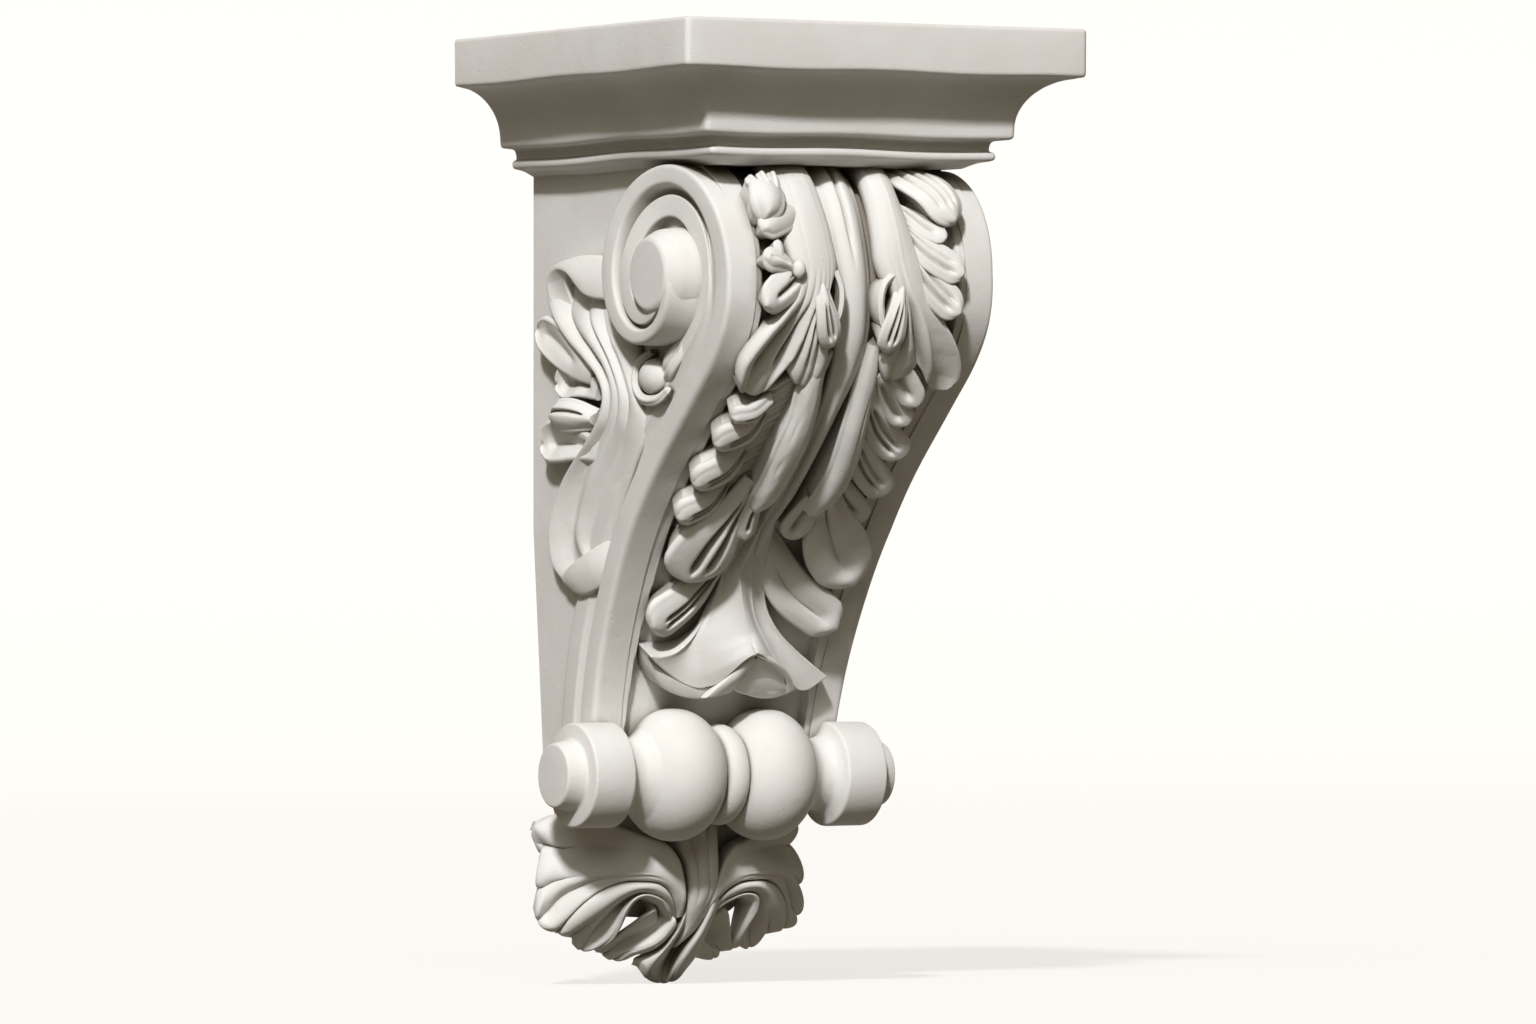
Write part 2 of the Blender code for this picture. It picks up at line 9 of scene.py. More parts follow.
import bmesh
import bpy
import numpy as np
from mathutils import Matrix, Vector


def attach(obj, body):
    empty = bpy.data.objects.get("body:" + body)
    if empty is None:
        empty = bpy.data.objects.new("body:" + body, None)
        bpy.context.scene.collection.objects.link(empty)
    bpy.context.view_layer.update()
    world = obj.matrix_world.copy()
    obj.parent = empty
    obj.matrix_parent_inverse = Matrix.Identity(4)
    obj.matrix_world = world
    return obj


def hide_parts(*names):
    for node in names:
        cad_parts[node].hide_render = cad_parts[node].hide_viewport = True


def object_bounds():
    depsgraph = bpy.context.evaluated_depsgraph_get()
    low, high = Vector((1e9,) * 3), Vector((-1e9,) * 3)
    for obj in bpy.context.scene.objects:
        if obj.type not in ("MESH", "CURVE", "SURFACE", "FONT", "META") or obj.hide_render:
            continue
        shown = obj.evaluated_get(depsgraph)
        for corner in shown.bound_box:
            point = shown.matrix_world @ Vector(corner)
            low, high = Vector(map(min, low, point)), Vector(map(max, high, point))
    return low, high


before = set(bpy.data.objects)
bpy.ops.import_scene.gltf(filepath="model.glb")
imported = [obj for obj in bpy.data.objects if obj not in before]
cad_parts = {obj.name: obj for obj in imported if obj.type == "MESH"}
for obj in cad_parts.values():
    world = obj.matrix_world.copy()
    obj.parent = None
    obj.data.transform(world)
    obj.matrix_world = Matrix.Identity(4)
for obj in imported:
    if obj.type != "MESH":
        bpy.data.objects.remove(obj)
cad_low, cad_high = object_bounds()
MM = 0.001
low, high = np.array(cad_low) / MM, np.array(cad_high) / MM
CAP_WIDTH = high[0] - low[0]
CAP_DEPTH = high[1] - low[1]
CAP_TOP = high[2]
FOOT = low[2]
print("box in mm", low.round(2), high.round(2))

# %% [markdown]
# Carving is easier to describe on a flat drawing than in space. A chart lays such a drawing on the
# block: two coordinates on its surface, and a height above it. The front chart follows the S curve,
# with x across and s the length down the curve; the side chart is the cheek; the wall chart is the wall.
# A curve object could hold the S, but the carving needs its points and normals as arrays, so a formula
# draws a smooth curve through a few chosen points.

# %% Charts
# The S curve's points: distance from the wall and height.
S_POINTS = [(124, 129), (139.5, 121), (151, 107), (157, 88), (155, 70), (145, 54), (127, 37),
            (100, 12), (80, -12), (66, -35), (55.5, -58), (49, -80), (46, -98)]
S_SAMPLES = 3001


def cubic(a, b, c, d, t):
    """Catmull-Rom: from b to c, the cubic whose slopes are half the chords from a to c and from b to d."""
    return 0.5 * (2 * b + (c - a) * t + (2 * a - 5 * b + 4 * c - d) * t ** 2
                  + (3 * b - a - 3 * c + d) * t ** 3)


def smooth_curve(points, samples):
    """Samples of the cubics through all the points, spread evenly over the stretches between them."""
    points = np.asarray(points, float)
    if points.ndim == 1:
        points = points[:, None]
    padded = np.vstack([2 * points[0] - points[1], points, 2 * points[-1] - points[-2]])
    place = np.linspace(0, len(points) - 1, samples)
    index = np.minimum(place.astype(int), len(points) - 2)
    return cubic(*[padded[index + k] for k in range(4)], (place - index)[:, None])


def soft_step(value, start, end):
    """0 before start, 1 after end, and between them 3 t squared - 2 t cubed."""
    t = np.clip((value - start) / (end - start), 0, 1)
    return t * t * (3 - 2 * t)


def run_length(points):
    """Length along a line of points, from its start to each point."""
    return np.concatenate([[0], np.cumsum(np.linalg.norm(np.diff(points, axis=0), axis=1))])


def read_off(place, known, table):
    """The table's columns, known at some places, read off straight between them at other places."""
    return np.stack([np.interp(place, known, column) for column in table.T], -1)


S_LINE = smooth_curve(S_POINTS, S_SAMPLES)
S_LENGTH = run_length(S_LINE)
S_ALONG = np.gradient(S_LINE, S_LENGTH, axis=0)


def on_front(x, s, h):
    """Point at x across, length s down the S curve and h out along the curve's normal."""
    line, along = read_off(s, S_LENGTH, S_LINE), read_off(s, S_LENGTH, S_ALONG)
    past = np.maximum(s - S_LENGTH[-1], 0)
    d = line[..., 0] - along[..., 1] * h + past * along[..., 0]
    z = line[..., 1] + along[..., 0] * h + past * along[..., 1]
    return np.stack([x, -d, z], -1)


PANEL_HALF, PANEL_HALF_LOW, TAPER_TOP, TAPER_FOOT = 51.6, 47.6, -7.0, -88.0
FLANGE_HALF = 56.8


def panel_half(z):
    """Half the body's width at height z: even above, and drawn in by 4 mm towards the foot."""
    return np.interp(z, [TAPER_FOOT, TAPER_TOP], [PANEL_HALF_LOW, PANEL_HALF])


def on_right_cheek(d, z, h):
    """Point on the right cheek at distance d from the wall, height z, and h out from the panel."""
    return np.stack([panel_half(z) + h, -d, z], -1)


def on_wall(x, z, h):
    """Point at x, z and h out from the wall."""
    return np.stack([x, -h, z], -1)


print("S curve is", round(float(S_LENGTH[-1]), 1), "mm long")

# %% [markdown]
# Every solid here is a tube: rings of points, joined row by row and closed at both ends. Corners of a
# moulding are never knife sharp in a casting. A Bevel modifier could soften them, but it would soften all
# of them alike, so a helper turns each corner of an outline into a short curve with its own radius. It
# works on whole arrays of outlines at once, so a moulding can change along its way.

# %% Surfaces
def grid_quads(rows, columns):
    """Quads between neighbouring points of a grid whose last column joins its first."""
    index = np.arange(rows * columns).reshape(rows, columns)
    index = np.concatenate([index, index[:, :1]], axis=1)
    return np.stack([index[:-1, :-1], index[:-1, 1:], index[1:, 1:], index[1:, :-1]], -1).reshape(-1, 4)


def tube(rings, zipped=False):
    """A closed shell through rings, with a fan to the middle of the ring's box on each end.

    A zipped tube's last ring is flat, so its two halves are joined to each other instead.
    """
    rows, columns = rings.shape[:2]
    quads = grid_quads(rows, columns)
    middles = 0.5 * (rings[[0, -1]].min(axis=1) + rings[[0, -1]].max(axis=1))
    points = np.concatenate([rings.reshape(-1, 3), middles])
    ring = np.arange(columns)
    after = np.roll(ring, -1)
    last = (rows - 1) * columns
    start_middle = np.full(columns, rows * columns)
    start_fan = np.stack([after, ring, start_middle], -1)
    if zipped:
        pair = np.arange(columns // 2 - 1)
        zipper = last + np.stack([pair, pair + 1, columns - 2 - pair, columns - 1 - pair], -1)
        return points[:-1], np.concatenate([quads, zipper]), start_fan
    end_fan = np.stack([ring + last, after + last, start_middle + 1], -1)
    return points, quads, np.concatenate([start_fan, end_fan])


def mirror(part):
    """The same part on the other side of the centre plane."""
    points, quads, triangles = part
    return points * [-1, 1, 1], quads[:, ::-1], triangles[:, ::-1]


def unit(vectors):
    """The same directions with length 1."""
    return vectors / np.linalg.norm(vectors, axis=-1, keepdims=True)


def rounded(corners, radius, samples=5):
    """Outlines with each corner c turned into the curve (1 - t) squared a + 2 t (1 - t) c + t squared b.

    a and b lie a radius from c on its two sides, or just under half way along a shorter side. corners
    has the shape (rows, points, 2), and the first and last points stay.
    """
    corners = np.asarray(corners, float)
    middle = corners[:, 1:-1]
    before, after = corners[:, :-2] - middle, corners[:, 2:] - middle
    near = np.linalg.norm(before, axis=-1, keepdims=True) + 1e-9
    far = np.linalg.norm(after, axis=-1, keepdims=True) + 1e-9
    start = (middle + before / near * np.minimum(radius, 0.48 * near))[:, :, None]
    end = (middle + after / far * np.minimum(radius, 0.48 * far))[:, :, None]
    t = np.linspace(0, 1, samples)[:, None]
    arcs = (1 - t) ** 2 * start + 2 * t * (1 - t) * middle[:, :, None] + t ** 2 * end
    return np.concatenate([corners[:, :1], arcs.reshape(len(corners), -1, 2), corners[:, -1:]], axis=1)


PIECES = []


def make_piece(name, parts, sharp=50):
    """One mesh object in metres from parts in millimetres, smooth but for edges over sharp degrees."""
    points, quads, triangles, offset = [], [], [], 0
    for part_points, part_quads, part_triangles in parts:
        points.append(part_points)
        quads.append(part_quads + offset)
        triangles.append(part_triangles + offset)
        offset += len(part_points)
    mesh = bpy.data.meshes.new(name)
    faces = np.concatenate(quads).tolist() + np.concatenate(triangles).tolist()
    mesh.from_pydata((np.concatenate(points) * MM).tolist(), [], faces)
    work = bmesh.new()
    work.from_mesh(mesh)
    bmesh.ops.recalc_face_normals(work, faces=work.faces)
    work.to_mesh(mesh)
    work.free()
    mesh.shade_smooth()
    mesh.set_sharp_from_angle(angle=np.radians(sharp))
    item = bpy.data.objects.new(name, mesh)
    bpy.context.scene.collection.objects.link(item)
    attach(item, "root")
    PIECES.append(item)
    print(name, len(mesh.polygons), "faces")
    return item


trial_corner = rounded([[(0, 0), (10, 0), (10, 10)]], 2.0)[0]
print("a corner of radius 2 has", len(trial_corner) - 2, "points")

# %% [markdown]
# The cap is a run moulding: a straight fascia, a deep cove, a thin fillet, a hollow and a second fillet.
# A plasterer runs such a profile with a zinc template, and a bevelled curve object could do the same.
# Here the profile is carried round three sides of a rectangle that shrinks by the profile's inset, so
# the mitres come by themselves. Slow waves, 75 to 120 mm long, keep it from looking machined.

# %% Cap
WAVE = 0.16
FASCIA_HEIGHT, FASCIA_LIP, COVE_LIP, COVE_RISE = 18.0, 2.0, 2.2, 3.2
COVE_FOOT_INSET, COVE_FOOT, FILLET_INSET, FILLET_FOOT = 19.3, 137.0, 27.5, 128.5
CAP_CORNER, CORNER_POINTS, SIDE_POINTS, FRONT_POINTS = 2.2, 7, 12, 30


def cap_ring(inset, z):
    """A rectangle from wall to wall with rounded front corners, drawn in by an inset and a faint wave."""
    half, depth = CAP_WIDTH / 2 - inset, CAP_DEPTH - inset
    turn = np.linspace(0, np.pi / 2, CORNER_POINTS)
    side = np.linspace(0, 1, SIDE_POINTS)
    left = np.stack([np.full(SIDE_POINTS, -half), -side * (depth - CAP_CORNER)], -1)
    corner = np.stack([-half + CAP_CORNER * (1 - np.cos(turn)),
                       -(depth - CAP_CORNER) - CAP_CORNER * np.sin(turn)], -1)
    across = np.linspace(-half + CAP_CORNER, half - CAP_CORNER, FRONT_POINTS)[1:-1]
    front = np.stack([across, np.full(FRONT_POINTS - 2, -depth)], -1)
    left = np.concatenate([left, corner[1:]])
    outline = np.concatenate([left, front, left[::-1] * [-1, 1]])
    x, y = outline.T
    wave = WAVE * (1 + np.sin(0.061 * x - 0.052 * y + 0.09 * z))
    fall = 2 * WAVE * np.sin(0.083 * x + 0.071 * y + 0.05 * z) * (z < CAP_TOP - 5)
    outline = outline * np.stack([1 - wave / half, 1 - wave / depth], -1)
    return np.column_stack([outline, z + fall])


def cap_profile():
    """Inset and height down the moulding, with the cove as a quarter of an ellipse."""
    fascia_foot = CAP_TOP - FASCIA_HEIGHT
    upper = [(6.0, CAP_TOP), (0.0, CAP_TOP), (0.0, fascia_foot), (FASCIA_LIP, fascia_foot - 0.3)]
    cove_foot = COVE_FOOT + COVE_RISE
    wide, tall = COVE_FOOT_INSET - COVE_LIP, fascia_foot - 0.6 - cove_foot
    cove = [(COVE_LIP + wide * np.sin(a) ** 1.1, cove_foot + tall * np.cos(a))
            for a in np.linspace(0.06, 0.5 * np.pi, 16)]
    fillets = [(0.2, 0.0), (6.4, -0.4), (7.2, -4.3), (5.2, -4.8), (5.2, -7.6)]
    lower = [(COVE_FOOT_INSET + inset, COVE_FOOT + z) for inset, z in fillets]
    foot = [(FILLET_INSET + 2, FILLET_FOOT), (FILLET_INSET + 6, FILLET_FOOT - 2)]
    return rounded([upper + cove + lower + foot], 1.6)[0]


make_piece("cap", [tube(np.stack([cap_ring(inset, z) for inset, z in cap_profile()]))])

# %% [markdown]
# The body is the block between the scrolls. It could be the S profile pulled out to a width, with the
# ground cut by a Boolean. Here its cross sections follow the S curve instead, because the same chart
# carries the leaves. The ground beside them was cut back a little, which leaves a fine step.

# %% Body
GROUND_DROP, GROUND_HALF_TOP, GROUND_HALF_FOOT = 4.2, 42.0, 39.0
GROUND_TAPER, GROUND_SINK, STEP_WIDTH = [60, 200], 0.6, 0.9
BODY_START_S, BODY_FOOT_S, BODY_ROWS, BACK_POINTS = -3, 289.0, 260, 14


def body_rings():
    """For each s a ring: back along the left panel, across the front ground and back to the wall."""
    s = np.linspace(BODY_START_S, BODY_FOOT_S, BODY_ROWS)[:, None]
    edge, step = np.linspace(0.84, 1, 6), np.linspace(0.72, 0.83, 12)
    across = np.concatenate([-edge[::-1], -step[::-1], np.linspace(-0.7, 0.7, 31), step, edge])
    half = panel_half(on_front(0 * s, s, 0 * s)[..., 2])
    x = half * across
    ground_half = np.interp(s, GROUND_TAPER, [GROUND_HALF_TOP, GROUND_HALF_FOOT])
    h = -GROUND_SINK - GROUND_DROP * soft_step(ground_half - np.abs(x), 0, STEP_WIDTH)
    front = on_front(x, s + 0 * x, h)
    back = np.linspace(1, 0, BACK_POINTS)[1:, None] * [0, 1, 0] + [1, 0, 1]
    side = front[:, -1:] * back
    return np.concatenate([side[:, ::-1] * [-1, 1, 1], front, side], axis=1)


make_piece("body", [tube(body_rings())])

# %% [markdown]
# On each cheek a band leaves the bolster, climbs the S curve and winds round an eye. It rises as it
# winds, like a shell. A carver sets it out with compasses, quarter by quarter, and so does this cell: the
# radii at each quarter turn are named, and a smooth curve between them makes the spiral. One moulding
# does it all: a flat band, a hollow, and a flat list.

# %% Scroll
SCROLL_DEPTH, SCROLL_HEIGHT = 113.0, 88.0
EYE_DEPTH, EYE_HEIGHT, EYE_BASE, EYE_FACE, EYE_RISE = 117.5, 86.3, 17.6, 13.2, 11.9
QUARTERS = {
    "band out": [44.0, 39.0, 37.5, 26.5, 17.5], "band in": [34.0, 32.0, 28.5, 21.5, 13.4],
    "list out": [27.0, 28.0, 25.5, 19.6, 12.8], "list in": [15.0, 20.0, 16.5, 14.6, 11.5],
    "band rise": [0.0, 3.5, 8.0, 10.0, 11.5], "list rise": [-1.6, 0.0, 6.5, 9.8, 11.2],
}
WALL_SPREAD, GROOVE_DEPTH, GROOVE_SWELL = 3.4, 0.8, 2.6
ROOT, FLOOR, CORE = -12.0, -3.5, 6.0
TAIL_MOULDING = [(0, ROOT), (0, 0), (10.2, 0), (10.9, -3.9), (14.0, -4.1), (17.6, -2.2), (18.2, -1.6),
                 (27.0, -1.6), (28.2, FLOOR), (31.0, FLOOR), (31.0, ROOT)]
SPIRAL_ROUNDING = np.array([1.8, 1.2, 2.0, 0.8, 0.4, 0.7, 1.0, 0.8, 0.8])[:, None]
TAIL_ROUNDING = np.array([2.6, 0.5, 1.8, 2.0, 1.0, 0.8, 1.0, 0.8, 0.8])[:, None]
TAIL_END, TAIL_BLEND = 272.0, 55.0
SPIRAL_ROWS, TAIL_ROWS, SPIRAL_SAMPLES = 190, 150, 801


def spiral_outlines(turn):
    """Outlines (radius, rise) of the moulding: band, hollow with a groove at its foot, list, floor.

    Each radius or rise is read, at places in turns, from the smooth curve through its quarter values.
    """
    turns = np.linspace(0, 1, SPIRAL_SAMPLES)
    band_out, band_in, list_out, list_in, band_rise, list_rise = [
        np.interp(turn, turns, smooth_curve(values, SPIRAL_SAMPLES)[:, 0]) for values in QUARTERS.values()]
    groove = np.minimum(band_rise, list_rise) - GROOVE_DEPTH - GROOVE_SWELL * np.sin(np.pi * turn)
    middle = 0.5 * (band_in + list_out + 0.8)
    sunk = groove + 0.25 * (band_rise - groove)
    wall = 0 * turn
    foot = band_out + WALL_SPREAD * soft_step(turn, 0.6, 0.95)
    corners = [(foot, ROOT + wall), (band_out, band_rise), (band_in, band_rise), (middle, sunk),
               (list_out + 0.9, groove), (list_out + 0.2, groove), (list_out, list_rise),
               (list_in, list_rise), (list_in - 1, FLOOR + wall), (CORE + wall, FLOOR + wall),
               (CORE + wall, ROOT + wall)]
    return rounded(np.stack([np.stack(pair, -1) for pair in corners], axis=1), SPIRAL_ROUNDING)


def scroll_rings():
    """The moulding from the eye outwards round the spiral, then inwards from the S curve to the bolster."""
    turn = np.linspace(0.995, 0, SPIRAL_ROWS)
    outline = spiral_outlines(turn)
    angle = 2 * np.pi * turn[:, None]
    radius, rise = outline[..., 0], outline[..., 1]
    spiral = np.stack([FLANGE_HALF + rise, -(SCROLL_DEPTH + radius * np.cos(angle)),
                       SCROLL_HEIGHT + radius * np.sin(angle)], -1)
    start = np.interp(-SCROLL_HEIGHT, -S_LINE[:, 1], S_LENGTH)
    s = np.linspace(start, TAIL_END, TAIL_ROWS)[1:, None]
    blend = soft_step(s - start, 0, TAIL_BLEND)[..., None]
    end_of_spiral = outline[-1] * [-1, 1] + [QUARTERS["band out"][0], 0]
    end_of_tail = rounded([TAIL_MOULDING], TAIL_ROUNDING)[0]
    inset, rise = np.moveaxis(end_of_spiral * (1 - blend) + end_of_tail * blend, -1, 0)
    tail = on_front(0 * inset, s + 0 * inset, -inset)
    tail[..., 0] = FLANGE_HALF - PANEL_HALF + panel_half(np.interp(s, S_LENGTH, S_LINE[:, 1])) + rise
    return np.concatenate([spiral, tail])


def lathe(profile, centre, samples=96):
    """A profile of (x, radius) turned round an axis along X through centre = (distance, height)."""
    angle = np.linspace(0, 2 * np.pi, samples, endpoint=False)
    x, radius = profile[:, :1], profile[:, 1:]
    depth = centre[0] + radius * np.cos(angle)
    return np.stack([x + 0 * depth, -depth, centre[1] + radius * np.sin(angle)], -1)


def eye_rings():
    """A round boss with straight sides, a sloping shoulder and a flat face, turned on the lathe."""
    corners = [(ROOT, EYE_BASE), (FLOOR, EYE_BASE), (0.5 * EYE_RISE, EYE_BASE - 0.9), (EYE_RISE, EYE_FACE),
               (EYE_RISE, 2.0)]
    return lathe(rounded([corners], 1.6, 8)[0] + [FLANGE_HALF, 0], (EYE_DEPTH, EYE_HEIGHT))


scroll = [tube(scroll_rings()), tube(eye_rings())]
make_piece("scroll_right", scroll)
make_piece("scroll_left", [mirror(part) for part in scroll])

# %% [markdown]
# The bolster is a turned form: a ring, two bulbs, two necks and two drums with buttons. A Screw modifier
# could turn its profile. The eye's lathe function does it here, so the bolster is one outline, drawn for
# half its length and mirrored, turned round a level axis.

# %% Bolster
BOLSTER_DEPTH, BOLSTER_HEIGHT, BOLSTER_COLUMNS, BOLSTER_SHARP = 50.0, -98.7, 128, 40
RING_HALF, RING_RADIUS, RING_BEAD = 4.8, 18.8, 3.6
BULB_MIDDLE, BULB_HALF, BULB_CORE, BULB_RADIUS = 19.5, 16.5, 8, 25.0
NECK_RADIUS, DRUM_START, DRUM_END, DRUM_RADIUS = 13.5, 46.0, 62.8, 19.8
BUTTON_END, BUTTON_RADIUS = 70.8, 12.0


def bolster_outline():
    """Radius along half the bolster: a bead, a V groove, an oval bulb, a cove, a drum and a button."""
    ring = [(RING_HALF * np.sin(a), RING_RADIUS - 3.4 + RING_BEAD * np.cos(a))
            for a in np.linspace(0, 1.25, 8)]
    bulb = [(BULB_MIDDLE + BULB_HALF * np.cos(a), BULB_CORE + (BULB_RADIUS - BULB_CORE) * np.sin(a))
            for a in np.radians(np.linspace(152, 32, 24))]
    cove = [(36.3, 14.6), (38.3, NECK_RADIUS), (41.0, NECK_RADIUS), (43.6, 14.4), (DRUM_START - 0.8, 17.0)]
    drum = [(DRUM_START, DRUM_RADIUS), (DRUM_END, DRUM_RADIUS - 0.2), (DRUM_END + 0.4, BUTTON_RADIUS + 1.4),
            (BUTTON_END, BUTTON_RADIUS), (BUTTON_END, 1.5)]
    return rounded([ring + [(RING_HALF + 0.3, 15.0)] + bulb + cove + drum], 1.1)[0]


half_outline = bolster_outline()
outline = np.concatenate([half_outline[::-1] * [-1, 1], half_outline[1:]])
bolster = tube(lathe(outline, (BOLSTER_DEPTH, BOLSTER_HEIGHT), BOLSTER_COLUMNS))
make_piece("bolster", [bolster], BOLSTER_SHARP)

# %% [markdown]
# An acanthus leaf is a fan of lobes. A carver cuts each lobe as a spoon: a rounded rim, a hollow, and
# grooves that run from the tip back to the stem. It could be sculpted, but then its sizes would have no
# names. The lobe below is a strip along a path. Across it the height follows a crown, less a bell shaped
# dip for each groove; its edge is a quarter round that turns under, so a shadow falls below it; its tip
# closes in a half circle. Each point of a path gives its place on the chart, a height and a width.

# %% Lobe
LOBE_SAMPLES, LOBE_COLUMNS, TIP_ROWS, TIP_TURN, TIP_SHARE = 241, 45, 14, 88, 0.6
SIDE_ANGLES = np.radians([62, 36, 10, -18, -48, -80])
CROWN_FROM, CROWN_TO, GROOVE_START, GROOVE_END, BELL_POWER = 0.1, 0.85, 0.18, 0.12, 1.6


def quarter_round(near, radius):
    """Fall of a rounded edge at a distance near from it: r - r root of (1 - (1 - near / r) squared)."""
    share = np.clip(near / np.maximum(radius, 1e-6), 0, 1)
    return radius * (1 - np.sqrt(1 - (1 - share) ** 2))


def lobe(place, path, grooves=(), crown=(2.0, 0.5), roll=1.3, foot=-5.0, undercut=0.35, rows=40, blunt=1.0,
         open_end=False, crinkle=0.0, square=2.0):
    """Strip along path (a, b, h, width): top = h + crown (1 - |u| to the power square) - grooves.

    crown is its height at the start and at the tip. A groove is (place across, half width, depth, start,
    end), the last two as shares of the length. The edges are rounded by roll. undercut is how far the
    foot is drawn in, as a share.
    """
    curve = smooth_curve(path, LOBE_SAMPLES)
    arc = run_length(curve[:, :2])
    length, arc = arc[-1], arc / arc[-1]
    rounding = 0.0 if open_end else min(TIP_SHARE, blunt * curve[-1, 3] / 2 / length)
    turn = np.linspace(0, np.radians(TIP_TURN), TIP_ROWS + 1)[1:]
    v = np.concatenate([np.linspace(0, 1 - rounding, rows), 1 - rounding + rounding * np.sin(turn)])
    narrow = np.concatenate([np.ones(rows), np.cos(turn)])
    if open_end:
        v, narrow = v[:rows], narrow[:rows]
    line = read_off(v, arc, curve)
    under = read_off(v * (1 - 0.35 * undercut), arc, curve[:, :2])
    slope = unit(read_off(v, arc, np.gradient(curve[:, :2], axis=0)))
    across = np.stack([-slope[:, 1], slope[:, 0]], -1)
    breadth = (line[:, 3] / 2 * narrow)[:, None]
    edge = np.minimum(roll, 0.5 * breadth)
    u = np.linspace(-1, 1, LOBE_COLUMNS)[None, :]
    v = v[:, None]
    bulge = crown[0] + (crown[1] - crown[0]) * soft_step(v, CROWN_FROM, CROWN_TO)
    top = line[:, 2:3] + bulge * np.sqrt(narrow)[:, None] * (1 - np.abs(u) ** square)
    for middle, half, depth, start, end in grooves:
        fade = soft_step(v, start, start + GROOVE_START) * (1 - soft_step(v, end - GROOVE_END, end))
        top = top - depth * fade * np.exp(-np.abs((u - middle) / half) ** BELL_POWER)
    if crinkle:
        ripple = np.sin(38 * v + 3 * u) * np.sin(9 * v + 5 * u + 1)
        top = top + crinkle * ripple * soft_step(np.abs(u), 0, 0.5)
    if not open_end:
        top = top - quarter_round(length * (1 - v), roll)
    flat_half = breadth - edge
    out = flat_half + edge * np.cos(SIDE_ANGLES)
    right_h = top[:, -1:] - edge + edge * np.sin(SIDE_ANGLES)
    left_h = top[:, :1] - edge + edge * np.sin(SIDE_ANGLES)
    inner = flat_half * (1 - undercut)
    ground = np.full((len(v), 1), float(foot))
    lateral = np.concatenate([-inner, -out[:, ::-1], u * flat_half, out, inner], axis=1)
    height = np.concatenate([ground, left_h[:, ::-1], top, right_h, ground], axis=1)
    flat = line[:, None, :2] + across[:, None, :] * lateral[..., None]
    flat[:, [0, -1]] = under[:, None, :] + across[:, None, :] * lateral[:, [0, -1], None]
    return tube(place(flat[..., 0], flat[..., 1], height))


trial_lobe = lobe(on_wall, [(0, 0, 0, 6), (10, 0, 2, 8)])
print("a plain lobe has", len(trial_lobe[0]), "points")

# %% [markdown]
# Down the middle runs the leaf's midrib: two rounded ridges with a crease between them, which become
# one ridge lower down. It lies lower than the leaf's two blades, with a dark groove on each side. One
# long lobe with a single groove makes both ridges, so they meet without a seam.

# %% Midrib
MIDRIB = dict(
    path=[(-2, 2, 1, 18), (-2.5, 20, -1, 18), (-3, 42, -2.5, 17.5), (-2, 66, -2.5, 16.5), (0, 86, 0.5, 14),
          (0, 104, 4, 11), (0, 124, 6, 9), (0, 144, 7, 8), (0, 160, 6, 8), (0, 174, 3, 8), (0, 190, 1, 7)],
    grooves=[(0, 0.16, 2.2, -0.5, 0.3)], crown=(3, 2), foot=-9, undercut=0, rows=150, open_end=True,
    roll=2.5)
make_piece("midrib", [lobe(on_front, **MIDRIB)])

# %% [markdown]
# The ends of the leaves are folded like a fan. Separate lobes side by side would leave gaps there, so a
# second helper lays strips between several lines that share their edges. It can also leave the sheet
# thin, with its underside following its top, where the real leaf stands free. Small round bosses are
# squashed balls.

# %% Flutes
FLUTE_SAMPLES, ROW_CROWDING, RIM, WITHOUT_SHELL, BEAD_SAMPLES = 601, 1.4, 2.2, 1e3, 28


def down_the_way(v, values):
    """Values given at even steps down a piece, read off at v, as a column."""
    return np.interp(v, np.linspace(0, 1, len(values)), values)[:, None]


